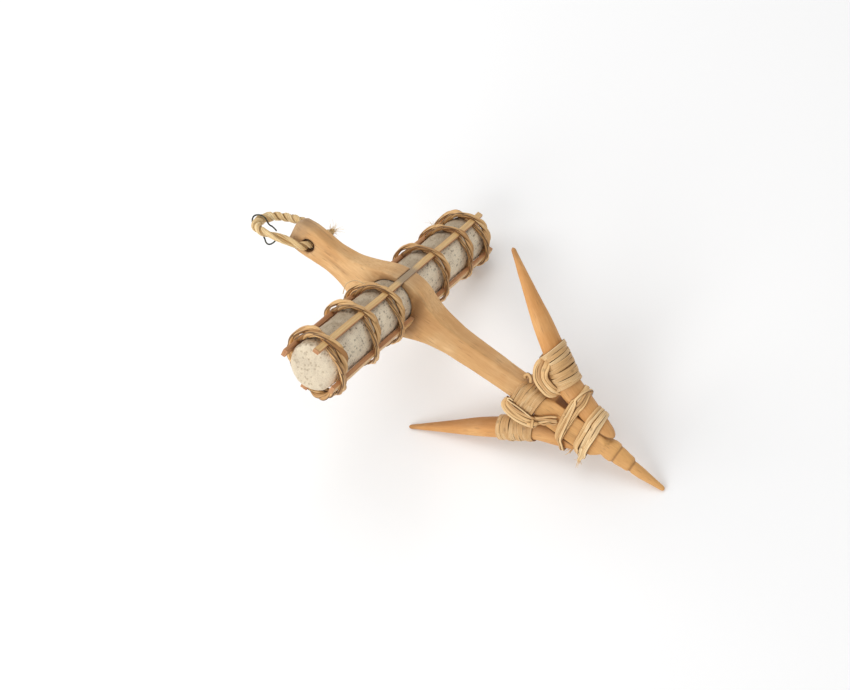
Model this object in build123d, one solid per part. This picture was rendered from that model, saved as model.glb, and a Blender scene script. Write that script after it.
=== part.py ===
"""Small wood-and-stone anchor: a lashed killick with a stone stock, lying at rest on a flat surface.

It is modelled square to its own shank, then laid down. While it is modelled, the origin is where
the stock crosses the shank, +X runs along the shank to the pointed crown, +Y along the stock to its
low end, and +Z towards the upper arm. Sizes are in millimetres.
"""

import os
from math import hypot, radians, tan

from build123d import *

# Stock: a stone bar inside a cage of split-cane splints
stone_radius = 13.9
stone_half_length = 96.0
stone_edge = 2.4
splint_width = 3.5
splint_thick = 2.2
splint_gap = 1.0
top_splint_high_end = stone_half_length + 7.0
top_splint_low_end = stone_half_length + 4.0
fore_splint_end = stone_half_length + 5.0
aft_splint_end = stone_half_length + 3.0
under_splint_end = stone_half_length - 4.0

# Twined lashings round the cage: places along the stock, from the high end to the low end
lashing_places = {
    "high_end_lashing": 8.0 - stone_half_length,
    "high_middle_lashing": -52.0,
    "high_inner_lashing": -23.0,
    "low_inner_lashing": 36.0,
    "low_middle_lashing": 67.5,
    "low_end_lashing": stone_half_length - 5.0,
}
lashing_width = 5.4
lashing_thick = 2.4
lashing_gap = 0.15
lashing_round = 1.1

# Shank: each station is x, centre height, half height, half thickness, corner radius
boss_wall = 3.3
boss_half_height = stone_radius + boss_wall
shank_stations = [
    (-69.5, -1.2, 6.6, 4.4, 2.0),
    (-66.8, -0.9, 8.3, 5.9, 2.4),
    (-60.0, -0.8, 8.9, 6.3, 2.4),
    (-42.0, -1.2, 7.6, 5.7, 2.2),
    (-30.0, -1.6, 8.6, 6.5, 2.0),
    (-20.0, -1.4, 11.9, 7.1, 1.6),
    (-12.0, -0.6, boss_half_height - 1.9, 7.5, 1.2),
    (-3.0, 0.0, boss_half_height, 7.9, 1.0),
    (5.0, 0.0, boss_half_height, 7.9, 1.0),
    (12.0, 0.0, boss_half_height - 1.2, 7.9, 1.0),
    (16.0, -0.1, boss_half_height - 3.0, 7.8, 1.0),
    (20.0, -0.2, 12.2, 7.7, 1.2),
    (25.0, 0.1, 10.1, 7.6, 1.3),
    (30.0, 0.3, 8.6, 7.4, 1.5),
    (42.0, 0.4, 6.9, 7.0, 1.8),
    (60.0, 0.5, 6.5, 6.4, 2.0),
]
band_section = (0.5, 6.3, 6.1, 2.0)
band_seat = 1.0
upper_seat_z = 8.9
lower_seat_z = -8.2
seat_gap = 0.05
stone_hole_gap = 0.25
slot_gap = 0.25
stock_end_gap = 0.4

# Crown: x, how much lower than the seats, and half thickness; it ends inside the first bead
crown_sections = [
    (108.0, 0.0, 5.6),
    (130.0, 0.0, 5.3),
    (139.0, 0.9, 5.1),
]
crown_corner = 1.4
bead_axis_z = 1.2
crown_end = (146.0, bead_axis_z, 5.2, 5.0, 2.4)

# Eye in the head, for the rope
eye_x = -57.0
eye_z = -1.4
eye_radius = 3.8

# Carved beads between the crown and the point: x, radius
bead_profile = [
    (144.0, 5.2),
    (147.0, 6.0),
    (150.0, 5.9),
    (151.2, 4.9),
    (152.4, 5.2),
    (157.0, 4.6),
    (160.4, 4.3),
    (161.6, 3.2),
]
point_axis_z = 0.1
point_profile = [
    (160.0, 3.0),
    (163.0, 3.4),
    (168.0, 3.1),
    (175.0, 2.2),
    (181.8, 1.4),
    (182.7, 0.7),
]

# Arms: centre x and z, and radius, from the tip to the foot
upper_arm_stations = [
    (44.3, 70.4, 1.0),
    (79.0, 43.2, 5.0),
    (108.5, 20.3, 6.4),
    (128.0, 12.6, 5.9),
    (142.0, 7.2, 4.0),
]
lower_arm_stations = [
    (44.6, -67.6, 1.0),
    (79.0, -38.9, 4.9),
    (107.0, -15.6, 6.3),
    (120.0, -11.0, 5.8),
    (132.0, -7.2, 4.2),
]

# Bands of flat cane, wound close
cane_thick = 1.3
cane_gap = 0.12
shank_band_x = (86.6, 101.0)
upper_band_x = (91.0, 107.5)
lower_band_x = (89.5, 106.0)

# Cord lashings that tie the arms to the shank: bundle diameters and routes
throat_diameter = 2.6
cross_diameter = 2.2
crown_lashing_diameter = 3.0
upper_throat_route = [
    (88.2, -2.4, 25.2),
    (87.6, -6.8, 25.8),
    (87.0, -9.4, 21.8),
    (91.2, -9.2, 16.2),
    (98.5, -8.8, 13.4),
    (104.0, -7.6, 11.6),
    (105.6, -3.0, 10.6),
    (105.6, 3.0, 10.6),
    (104.0, 7.6, 11.6),
    (98.5, 8.8, 13.4),
    (91.2, 9.2, 16.2),
    (87.0, 9.4, 21.8),
    (87.6, 6.8, 25.8),
    (88.2, 2.4, 25.2),
]
lower_throat_route = [
    (84.6, -2.0, -10.2),
    (84.8, -6.6, -9.4),
    (86.6, -9.2, -11.4),
    (91.0, -9.2, -13.4),
    (95.6, -8.8, -12.2),
    (98.6, -6.6, -10.4),
    (98.8, -2.4, -9.5),
    (98.8, 2.4, -9.5),
    (98.6, 6.6, -10.4),
    (95.6, 8.8, -12.2),
    (91.0, 9.2, -13.4),
    (86.6, 9.2, -11.4),
    (84.8, 6.6, -9.4),
    (84.6, 2.0, -10.2),
]
cross_route = [
    (103.4, -6.9, -7.0),
    (105.6, -7.6, -4.8),
    (110.0, -7.6, -0.6),
    (112.6, -7.2, 1.6),
]
crown_turns = {
    "middle_crown_lashing": (118.8, 2.6, 2.2, 25.6, -19.6, 1),
    "outer_crown_lashing": (129.8, 6.2, 1.6, 21.4, -14.6, 2),
}
turn_half_thick = 8.2
turn_corner = 0.62

# Share of a cord's shorter run that each of its arcs takes up
bend_share = 0.45

# Passes that find the resting plane, each nearer than the last
settling_steps = 20

# Rope becket through the eye, and the wire ring hooked on it
rope_diameter = 4.8
rope_route = [
    (-51.8, 9.4, 5.6),
    (-56.4, 10.2, -1.0),
    (-57.0, -10.2, -1.6),
    (-66.6, -9.6, -4.0),
    (-76.0, -9.4, -7.0),
    (-84.4, -8.8, -10.2),
    (-90.6, -4.8, -12.2),
    (-91.6, 2.2, -11.4),
    (-87.4, 7.6, -8.4),
    (-80.6, 9.2, -4.8),
    (-72.0, 9.6, -0.8),
    (-63.8, 9.8, 0.6),
]
wire_diameter = 0.9
wire_route = [
    (-78.4, -2.8, -8.0),
    (-81.6, -1.2, -8.2),
    (-85.0, -0.2, -9.6),
    (-88.0, 0.2, -7.4),
    (-91.6, 0.2, -7.2),
    (-95.2, -0.4, -9.8),
    (-95.0, -1.0, -13.6),
    (-91.0, -1.6, -16.2),
    (-86.0, -3.0, -15.0),
    (-82.6, -4.6, -15.4),
    (-79.4, -5.2, -18.2),
    (-76.2, -5.0, -15.4),
    (-75.6, -4.6, -11.4),
]


def section(x, centre_z, half_height, half_thick, corner):
    """One rounded cross-section of the shank, square to X."""
    outline = RectangleRounded(2 * half_thick, 2 * half_height, corner)
    return Plane.YZ.offset(x) * Pos(0, centre_z) * outline


def slab(x_low, x_high, z_low, z_high):
    """A block right across the object, for cutting."""
    across = 4 * stone_half_length
    middle = ((x_low + x_high) / 2, 0, (z_low + z_high) / 2)
    return Pos(*middle) * Box(x_high - x_low, across, z_high - z_low)


def turned(profile, axis_z):
    """A solid of revolution about a line along X: the profile is x and radius."""
    first, last = profile[0][0], profile[-1][0]
    with BuildPart() as part:
        with BuildSketch(Plane.XZ):
            with BuildLine():
                Polyline((first, 0), *profile, (last, 0), close=True)
            make_face()
        revolve(axis=Axis.X)
    return Pos(0, 0, axis_z) * part.part


def bend_radii(points):
    """The largest arc that the two runs at each corner leave room for."""
    vectors = [Vector(*point) for point in points]
    radii = []
    for before, corner, after in zip(vectors, vectors[1:], vectors[2:]):
        first, second = corner - before, after - corner
        half_turn = radians(first.get_angle(second)) / 2
        radii.append(bend_share * min(first.length, second.length) / tan(half_turn))
    return radii


def tube(name, points, diameter):
    """A round cord along straight runs joined by tangent arcs."""
    radii = bend_radii(points)
    path = FilletPolyline(*points, radius=radii)
    start = Plane(origin=path @ 0, z_dir=path % 0)
    solid = sweep(start * Circle(diameter / 2), path=path)
    share = solid.volume / ((start * Circle(diameter / 2)).area * path.length)
    print(f"{name}: length {path.length:.1f}, smallest bend {min(radii):.1f}, volume share {share:.3f}")
    return solid


def splint(low_y, high_y, distance, turn):
    """One splint along the stock; turn is its place round the stone, in degrees from the top."""
    height = distance + splint_thick / 2
    bar = Pos(0, (low_y + high_y) / 2, height) * Box(splint_width, high_y - low_y, splint_thick)
    return Rot(0, turn, 0) * bar


def stock():
    """The stone bar and its splints."""
    stone = Rot(90, 0, 0) * Cylinder(stone_radius, 2 * stone_half_length)
    stone = fillet(stone.edges().filter_by(GeomType.CIRCLE), stone_edge)
    seat = stone_radius + splint_gap
    inner_end = max(station[3] for station in shank_stations) + stock_end_gap
    return {
        "stone_stock": stone,
        "top_splint": splint(-top_splint_high_end, top_splint_low_end, seat, 0),
        "high_fore_splint": splint(-fore_splint_end, -inner_end, seat, 90),
        "low_fore_splint": splint(inner_end, aft_splint_end, seat, 90),
        "high_aft_splint": splint(-aft_splint_end, -inner_end, seat, -90),
        "low_aft_splint": splint(inner_end, aft_splint_end, seat, -90),
        "high_under_splint": splint(-under_splint_end, -inner_end, seat, 180),
        "low_under_splint": splint(inner_end, under_splint_end, seat, 180),
    }


def lashing_outer_radius():
    """Outside radius of a lashing, over the splints' corners."""
    corner = hypot(stone_radius + splint_gap + splint_thick, splint_width / 2)
    return corner + lashing_gap + lashing_thick


def stock_lashings():
    """The rings twined round the stone and its splints."""
    middle_radius = lashing_outer_radius() - lashing_thick / 2
    with BuildPart() as ring:
        with BuildSketch(Plane.XY):
            with Locations((middle_radius, 0)):
                RectangleRounded(lashing_thick, lashing_width, lashing_round)
        revolve(axis=Axis.Y)
    return {name: Pos(0, y, 0) * ring.part for name, y in lashing_places.items()}


def crown_stations():
    """Shank sections under the band, and from there to the beads, with a seat for each arm."""
    centre = (upper_seat_z + lower_seat_z) / 2
    half = (upper_seat_z - lower_seat_z) / 2
    start, end = shank_band_x[0] - band_seat, shank_band_x[1] + cane_gap
    seats = [(x, centre, half - drop, thick, crown_corner) for x, drop, thick in crown_sections]
    return [(start, *band_section), (end, *band_section), *seats, crown_end]


def shank():
    """Head, boss, neck, crown, beads and point in one carved piece."""
    body = loft([section(*station) for station in shank_stations + crown_stations()], ruled=True)
    body += turned(bead_profile, bead_axis_z)
    body += turned(point_profile, point_axis_z)
    body -= Rot(90, 0, 0) * Cylinder(stone_radius + stone_hole_gap, 4 * stone_radius)
    slot_half = splint_width / 2 + slot_gap
    body -= slab(-slot_half, slot_half, 0, 2 * stone_radius)
    body -= Pos(eye_x, 0, eye_z) * Rot(90, 0, 0) * Cylinder(eye_radius, 4 * eye_radius)
    return body


def arm(stations, seat_z):
    """A tapered arm with a flat foot that lies on the shank's seat."""
    rings = []
    for before, here, after in zip(stations[:1] + stations, stations, stations[1:] + stations[-1:]):
        along = (after[0] - before[0], 0, after[1] - before[1])
        rings.append(Plane(origin=(here[0], 0, here[1]), z_dir=along) * Circle(here[2]))
    body = loft(rings, ruled=True)
    tip_x, tip_z, tip_radius = stations[0]
    body += Pos(tip_x, 0, tip_z) * Sphere(tip_radius)
    side = 1 if seat_z > 0 else -1
    seat = seat_z + side * seat_gap
    far = side * upper_arm_stations[0][1]
    return body - slab(0, point_profile[-1][0], min(seat, seat - far), max(seat, seat - far))


def on_arm(stations, x):
    """Centre and radius of an arm where its middle run passes x."""
    start, end = stations[1], stations[2]
    share = (x - start[0]) / (end[0] - start[0])
    return [a + share * (b - a) for a, b in zip(start, end)]


def arm_band(stations, x_range):
    """A close winding of flat cane round an arm."""
    start, end = (on_arm(stations, x) for x in x_range)
    along = (end[0] - start[0], 0, end[1] - start[1])

    def sleeve(extra):
        planes = [Plane(origin=(c[0], 0, c[1]), z_dir=along) for c in (start, end)]
        return loft([p * Circle(c[2] + extra) for p, c in zip(planes, (start, end))])

    return sleeve(cane_gap + cane_thick) - sleeve(cane_gap)


def shank_band():
    """A close winding of flat cane round the shank, behind the crown."""
    centre, half_height, half_thick, corner = band_section
    start, end = shank_band_x

    def sleeve(extra):
        sizes = (half_height + extra, half_thick + extra, corner + extra)
        return extrude(section(start, centre, *sizes), end - start, dir=(1, 0, 0))

    return sleeve(cane_gap + cane_thick) - sleeve(cane_gap)


def wound(start_x, travel, lean, top_z, low_z, turns):
    """A route round the whole crown: eight corners a turn, walking and leaning along the shank."""
    centre, half = (top_z + low_z) / 2, (top_z - low_z) / 2
    corner = turn_corner * turn_half_thick
    walk = [
        (corner, half),
        (-corner, half),
        (-turn_half_thick, half - corner),
        (-turn_half_thick, -half + corner),
        (-corner, -half),
        (corner, -half),
        (turn_half_thick, -half + corner),
        (turn_half_thick, half - corner),
    ]
    count = len(walk) * turns - 1
    route = []
    for step in range(count + 1):
        across, height = walk[step % len(walk)]
        along = travel * step / count - lean * height / half
        route.append((start_x + along, across, centre + height))
    return route


def crown_lashings():
    """The cords that bind the two arms to the crown."""
    shapes = {
        "upper_throat_lashing": tube("upper_throat_lashing", upper_throat_route, throat_diameter),
        "lower_throat_lashing": tube("lower_throat_lashing", lower_throat_route, throat_diameter),
        "cross_strand": tube("cross_strand", cross_route, cross_diameter),
    }
    for name, size in crown_turns.items():
        shapes[name] = tube(name, wound(*size), crown_lashing_diameter)
    return shapes


def resting_plane():
    """The floor under the anchor: low end of the stock, lower arm's tip and the point."""
    arm_x, arm_z, arm_radius = lower_arm_stations[0]
    tip_x, tip_radius = point_profile[-1]
    rim = lashing_outer_radius()
    rim_y = lashing_places["low_end_lashing"] + lashing_width / 2 - lashing_round
    up = Vector(0, 0, 1)
    for _ in range(settling_steps):
        sideways = Vector(up.X, 0, up.Z).normalized()
        low_rim = Vector(0, rim_y, 0) - sideways * (rim - lashing_round) - up * lashing_round
        arm_tip = Vector(arm_x, 0, arm_z) - up * arm_radius
        across = Vector(0, up.Y, up.Z).normalized()
        crown_tip = Vector(tip_x, 0, point_axis_z) - across * tip_radius
        up = (crown_tip - arm_tip).cross(low_rim - arm_tip).normalized()
    shank_way = Vector(1, 0, 0) - up * up.X
    return Plane(origin=arm_tip, x_dir=shank_way, z_dir=up)


def build():
    """Every piece by name, lying on its resting plane."""
    shapes = {"shank": shank(), **stock(), **stock_lashings()}
    shapes["upper_arm"] = arm(upper_arm_stations, upper_seat_z)
    shapes["lower_arm"] = arm(lower_arm_stations, lower_seat_z)
    shapes["shank_band"] = shank_band()
    shapes["upper_arm_band"] = arm_band(upper_arm_stations, upper_band_x)
    shapes["lower_arm_band"] = arm_band(lower_arm_stations, lower_band_x)
    shapes.update(crown_lashings())
    cords = {
        "rope_loop": tube("rope_loop", rope_route, rope_diameter),
        "wire_ring": tube("wire_ring", wire_route, wire_diameter),
    }
    lay_down = resting_plane().location.inverse()
    shapes = {name: shape.moved(lay_down) for name, shape in shapes.items()}
    box = Compound(list(shapes.values())).bounding_box()
    stand = Pos(-box.center().X, -box.center().Y, -box.min.Z)
    shapes.update({name: shape.moved(lay_down) for name, shape in cords.items()})
    return {name: shape.moved(stand) for name, shape in shapes.items()}, stand * lay_down


def main():
    os.makedirs("parts", exist_ok=True)
    shapes, placing = build()
    for name, shape in shapes.items():
        export_step(shape, f"parts/{name}.step")
    for point in ((0, 0, 0), (1, 0, 0), (0, 1, 0), (0, 0, 1), (eye_x, 0, eye_z)):
        place = (placing * Pos(*point)).position
        print(point, "lies at", [round(value, 4) for value in place])


main()
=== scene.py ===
"""The looks of a small wood-and-stone anchor, built round its fixed frame.

Each piece is worked out in the anchor's own layout: millimetres from where the stock crosses the
shank, X along the shank to its point, Y along the stock to its low end, Z towards the upper arm.
Layout.place lays those points down, in metres, where the frame has the anchor lying.
"""

import itertools
import logging
from dataclasses import dataclass, field, replace
from enum import Enum
from typing import Callable, ClassVar

import bpy
import numpy as np
from mathutils import Matrix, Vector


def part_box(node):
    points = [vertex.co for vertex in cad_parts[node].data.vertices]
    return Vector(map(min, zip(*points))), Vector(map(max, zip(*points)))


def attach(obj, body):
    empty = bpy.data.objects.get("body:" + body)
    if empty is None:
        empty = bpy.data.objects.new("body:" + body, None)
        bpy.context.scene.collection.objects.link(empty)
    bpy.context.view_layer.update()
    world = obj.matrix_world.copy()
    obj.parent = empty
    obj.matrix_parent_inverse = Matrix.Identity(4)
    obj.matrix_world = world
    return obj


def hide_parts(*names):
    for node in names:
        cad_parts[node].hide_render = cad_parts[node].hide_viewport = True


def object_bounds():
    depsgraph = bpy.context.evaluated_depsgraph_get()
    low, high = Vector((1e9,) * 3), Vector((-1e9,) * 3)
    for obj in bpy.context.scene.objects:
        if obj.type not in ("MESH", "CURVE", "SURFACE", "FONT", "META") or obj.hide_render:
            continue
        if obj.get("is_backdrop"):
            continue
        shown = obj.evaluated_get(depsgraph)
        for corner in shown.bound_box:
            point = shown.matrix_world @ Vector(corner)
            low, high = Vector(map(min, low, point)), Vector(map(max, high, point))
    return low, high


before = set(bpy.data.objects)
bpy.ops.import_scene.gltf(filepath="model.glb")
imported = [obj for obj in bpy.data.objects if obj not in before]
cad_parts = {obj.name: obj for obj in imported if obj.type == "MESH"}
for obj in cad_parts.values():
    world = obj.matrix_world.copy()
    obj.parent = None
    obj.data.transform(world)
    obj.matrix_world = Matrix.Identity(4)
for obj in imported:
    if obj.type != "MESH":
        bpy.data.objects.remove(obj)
cad_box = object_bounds()

Array = np.ndarray
TAU = 2 * np.pi
MM = 0.001
TOP_SPLINT_CENTRE = (0.0, -1.5, 16.0)
log = logging.getLogger("anchor")


class Slot(Enum):
    """The record's material slots."""

    SHANK = "carved_wood"
    ARM = "arm_wood"
    STONE = "grey_stone"
    SPLINT = "split_splint"
    CANE = "cane"
    ROPE = "twisted_fibre"
    WIRE = "dark_wire"


class Profile(Enum):
    """Cross-sections, as the powers of a superellipse's sideways and outward reach."""

    RIBBON = (6.0, 2.6)
    FLAT = (3.2, 2.2)
    ROUND = (2.0, 2.0)
    SQUARE = (12.0, 12.0)


# ---------------------------------------------------------------- layout and numbers


@dataclass(frozen=True)
class Layout:
    """Where the anchor lies: its origin in metres, and its X, Y and Z as rows."""

    origin: Array
    axes: Array

    @classmethod
    def from_frame(cls) -> "Layout":
        """Reads the layout off the top splint, a square bar whose sides follow the axes.

        Returns:
            The layout: the bar's longest side is Y, its thinnest Z, and X is square to both.
        """
        corners = points_of(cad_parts["top_splint"].data).astype(float)
        centre = corners.mean(0)
        vectors = np.linalg.eigh(np.cov(corners.T))[1]
        high, low, stone = (
            np.array(sum(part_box(node), start=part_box(node)[0] * 0)) / 2
            for node in ("high_end_lashing", "low_end_lashing", "stone_stock")
        )
        along = vectors[:, 2] * np.sign(vectors[:, 2] @ (low - high))
        up = vectors[:, 0] * np.sign(vectors[:, 0] @ (centre - stone))
        axes = np.stack([np.cross(along, up), along, up])
        return cls(centre - np.array(TOP_SPLINT_CENTRE) * MM @ axes, axes)

    def place(self, points: Array) -> Array:
        """Lays layout points in millimetres down in the row frame, in metres."""
        return self.origin + np.asarray(points, float) * MM @ self.axes

    def lift(self, points: Array) -> Array:
        """Takes row-frame points in metres back to the layout, in millimetres."""
        return (np.asarray(points, float) - self.origin) @ self.axes.T / MM


def points_of(mesh: bpy.types.Mesh) -> Array:
    """A mesh's points, three numbers each."""
    flat = np.empty(len(mesh.vertices) * 3, np.float32)
    mesh.vertices.foreach_get("co", flat)
    return flat.reshape(-1, 3)


def link(name: str, data: bpy.types.ID) -> bpy.types.Object:
    """Adds an object to the scene."""
    item = bpy.data.objects.new(name, data)
    bpy.context.scene.collection.objects.link(item)
    return item


def unit(vectors: Array) -> Array:
    """Vectors divided by their lengths."""
    return vectors / np.maximum(np.linalg.norm(vectors, axis=-1, keepdims=True), 1e-9)


def ease(value: Array, low: float, high: float) -> Array:
    """A smooth step from 0 at low to 1 at high: 3t squared less 2t cubed."""
    share = np.clip((value - low) / (high - low), 0, 1)
    return share * share * (3 - 2 * share)


def fade(value: Array, low: float, high: float) -> Array:
    """A smooth step from 1 at low to 0 at high."""
    return 1 - ease(value, low, high)


def blur(values: Array, width: float, wrap: bool = False) -> Array:
    """Averages evenly spaced values with a bell curve.

    Args:
        values: One row for each step.
        width: The bell's standard deviation, in steps.
        wrap: True where the last value meets the first.

    Returns:
        As many values, with straight ends kept straight.
    """
    reach = max(1, int(3 * width))
    bell = np.exp(-0.5 * (np.arange(-reach, reach + 1) / width) ** 2)
    mode = {"mode": "wrap"} if wrap else {"mode": "reflect", "reflect_type": "odd"}
    padded = np.pad(values, reach, **mode)
    return np.convolve(padded, bell / bell.sum(), mode="valid")


def rounded_end(distance: Array, radius: float) -> Array:
    """Shrinks a section near an end, so that it closes as a quarter circle of that radius."""
    inward = np.clip(distance / radius, 0, 1)
    return np.sqrt(np.maximum(1 - (1 - inward) ** 2, 0.0004))


class Noise:
    """Smooth random fields over space, from one seeded lattice."""

    side = 32

    def __init__(self, seed: int) -> None:
        """Fills the lattice."""
        self.lattice = np.random.default_rng(seed).random((self.side,) * 3)

    def _at(self, cells: Array) -> Array:
        """The lattice's numbers at whole-number cells, repeating past its sides."""
        x, y, z = np.moveaxis(cells % self.side, -1, 0)
        return self.lattice[x, y, z]

    def value(self, points: Array, size: float | tuple[float, float, float]) -> Array:
        """Value noise: lattice numbers blended by an eased share of the way across a cell.

        Args:
            points: Places, in millimetres.
            size: A cell's size, the same all ways or for each axis.

        Returns:
            One number from -1 to 1 for each point.
        """
        places = points / np.asarray(size)
        cells = np.floor(places).astype(int)
        share = places - cells
        share = share * share * (3 - 2 * share)
        total = np.zeros(points.shape[:-1])
        for corner in itertools.product((0, 1), repeat=3):
            weight = np.prod(np.where(corner, share, 1 - share), axis=-1)
            total += weight * self._at(cells + corner)
        return 2 * total - 1

    def pits(self, points: Array, size: float) -> tuple[Array, Array]:
        """Cellular noise: one scattered centre in each cell.

        Args:
            points: Places, in millimetres.
            size: A cell's size.

        Returns:
            The distance to the nearest centre in cells, and that centre's own number from 0 to 1.
        """
        places = points / size
        cells = np.floor(places).astype(int)
        nearest = np.full(points.shape[:-1], 9.0)
        own = np.zeros(points.shape[:-1])
        for step in itertools.product((-1, 0, 1), repeat=3):
            cell = cells + step
            centre = cell + np.stack([self._at(cell + shift) for shift in (5, 11, 17)], -1)
            distance = np.linalg.norm(places - centre, axis=-1)
            own = np.where(distance < nearest, self._at(cell), own)
            nearest = np.minimum(nearest, distance)
        return nearest, own


# ---------------------------------------------------------------- meshes


@dataclass(frozen=True)
class Shell:
    """A closed surface: points in layout mm, faces, and two three-number marks on each point.

    grain is where the point is along, across and through the fibres, in mm. tint is what its
    finish reads, such as a strand's own tone, how near an edge it is, and how dusty.
    """

    points: Array
    quads: Array
    triangles: Array
    grain: Array
    tint: Array


def join(shells: list[Shell]) -> Shell:
    """Puts shells side by side in one."""
    starts = np.cumsum([0] + [len(shell.points) for shell in shells[:-1]])
    return Shell(
        np.concatenate([shell.points for shell in shells]),
        np.concatenate([shell.quads + start for shell, start in zip(shells, starts)]),
        np.concatenate([shell.triangles + start for shell, start in zip(shells, starts)]),
        np.concatenate([shell.grain for shell in shells]),
        np.concatenate([shell.tint for shell in shells]),
    )


def grid_shell(points: Array, grain: Array, tint: Array, ring: bool = False) -> Shell:
    """Faces a grid of points that is closed round its columns.

    Args:
        points: Rows along the shape, columns round it, three numbers each.
        grain: The grain mark of each point.
        tint: The tint mark of each point.
        ring: True where the last row meets the first; otherwise both ends are closed by a fan.

    Returns:
        The shell, with its faces outward: they are turned round if its volume comes out negative.
    """
    rows, columns = points.shape[:2]
    steps = np.arange(rows if ring else rows - 1)
    row, column = np.meshgrid(steps, np.arange(columns), indexing="ij")
    after, beside = (row + 1) % rows, (column + 1) % columns
    corners = [row * columns + column, after * columns + column]
    corners += [after * columns + beside, row * columns + beside]
    quads = np.stack(corners, -1).reshape(-1, 4)
    flat, marks, tints = points.reshape(-1, 3), grain.reshape(-1, 3), tint.reshape(-1, 3)
    triangles = np.zeros((0, 3), int)
    if not ring:
        count, first = rows * columns, np.arange(columns)
        last, turn = first + count - columns, (first + 1) % columns
        start_fan = np.stack([np.full(columns, count), first, turn], -1)
        end_fan = np.stack([np.full(columns, count + 1), turn + count - columns, last], -1)
        triangles = np.concatenate([start_fan, end_fan])
        flat = np.concatenate([flat, points[[0, -1]].mean(1)])
        marks = np.concatenate([marks, grain[[0, -1]].mean(1)])
        tints = np.concatenate([tints, tint[[0, -1]].mean(1)])
    loose = np.concatenate([quads[:, :3], quads[:, [0, 2, 3]], triangles])
    a, b, c = np.moveaxis(flat[loose], 1, 0)
    if np.einsum("ij,ij->i", a, np.cross(b, c)).sum() < 0:
        quads, triangles = quads[:, ::-1], triangles[:, ::-1]
    return Shell(flat, quads, triangles, marks, tints)


def mark(mesh: bpy.types.Mesh, name: str, values: Array) -> None:
    """Stores three numbers on each of a mesh's points under a name that materials read."""
    attribute = mesh.attributes.new(name, "FLOAT_VECTOR", "POINT")
    attribute.data.foreach_set("vector", values.astype(np.float32).ravel())


def make_mesh(name: str, shell: Shell, layout: Layout, crease: float = 40.0) -> bpy.types.Mesh:
    """Turns a shell into a mesh in the row frame.

    Args:
        name: The mesh's name.
        shell: Its points, faces and marks.
        layout: Where the anchor lies.
        crease: Faces that meet at more than this many degrees keep a sharp edge.

    Returns:
        The mesh, smooth elsewhere.
    """
    mesh = bpy.data.meshes.new(name)
    corners = np.concatenate([shell.quads.ravel(), shell.triangles.ravel()])
    quad_corners = 4 * len(shell.quads)
    starts = np.concatenate([
        np.arange(0, quad_corners, 4),
        quad_corners + 3 * np.arange(len(shell.triangles)),
    ])
    mesh.vertices.add(len(shell.points))
    mesh.vertices.foreach_set("co", layout.place(shell.points).astype(np.float32).ravel())
    mesh.loops.add(len(corners))
    mesh.loops.foreach_set("vertex_index", corners.astype(np.int32))
    mesh.polygons.add(len(starts))
    mesh.polygons.foreach_set("loop_start", starts.astype(np.int32))
    mesh.update(calc_edges=True)
    mark(mesh, "grain", shell.grain)
    mark(mesh, "tint", shell.tint)
    mesh.shade_smooth()
    mesh.set_sharp_from_angle(angle=np.radians(crease))
    return mesh


def add_piece(data: bpy.types.ID, name: str, material: bpy.types.Material, slot: Slot,
              nodes: tuple[str, ...], body: str = "anchor") -> bpy.types.Object:
    """Makes a piece of the anchor from finished data.

    Args:
        data: Its mesh or curve, in the row frame.
        name: The piece's name.
        material: Its finish.
        slot: The record's slot that the finish stands for; not used.
        nodes: The CAD nodes that it replaces.
        body: The body that it moves with.

    Returns:
        The piece, at the origin.
    """
    piece = link(name, data)
    data.materials.append(material)
    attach(piece, body)
    if nodes:
        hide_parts(*nodes)
    log.info("%s replaces %s", name, ", ".join(nodes))
    return piece


# ---------------------------------------------------------------- strips and paths


@dataclass(frozen=True)
class Path:
    """A line that a strip follows: points, and which way is outward from what it lies on."""

    points: Array
    outward: Array
    closed: bool = False

    def tangents(self) -> Array:
        """The line's direction at each point."""
        if self.closed:
            return unit(np.roll(self.points, -1, 0) - np.roll(self.points, 1, 0))
        return unit(np.gradient(self.points, axis=0))

    def frames(self) -> tuple[Array, Array, Array]:
        """Along, outward and sideways at each point, square to each other."""
        along = self.tangents()
        out = self.outward - np.einsum("ij,ij->i", self.outward, along)[:, None] * along
        out = unit(out)
        return along, out, np.cross(along, out)

    def distance(self) -> Array:
        """How far each point is along the line."""
        steps = np.linalg.norm(np.diff(self.points, axis=0), axis=1)
        return np.concatenate([[0], np.cumsum(steps)])

    def moved(self, sideways: Array | float, outward: Array | float) -> "Path":
        """The line moved sideways and outward, by as much at each point as the arrays say."""
        _, out, side = self.frames()
        count = len(self.points)
        shift = side * np.broadcast_to(sideways, count)[:, None]
        shift = shift + out * np.broadcast_to(outward, count)[:, None]
        return replace(self, points=self.points + shift)

    def evened(self, step: float) -> "Path":
        """The same line with its points about one step apart."""
        points, out = self.points, self.outward
        if self.closed:
            points, out = (np.concatenate([values, values[:1]]) for values in (points, out))
        travel = Path(points, out).distance()
        count = max(8, int(round(travel[-1] / step)))
        at = np.linspace(0, travel[-1], count, endpoint=not self.closed)
        points, out = (
            np.stack([np.interp(at, travel, values[:, axis]) for axis in range(3)], -1)
            for values in (points, out)
        )
        return Path(points, out, self.closed)


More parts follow.
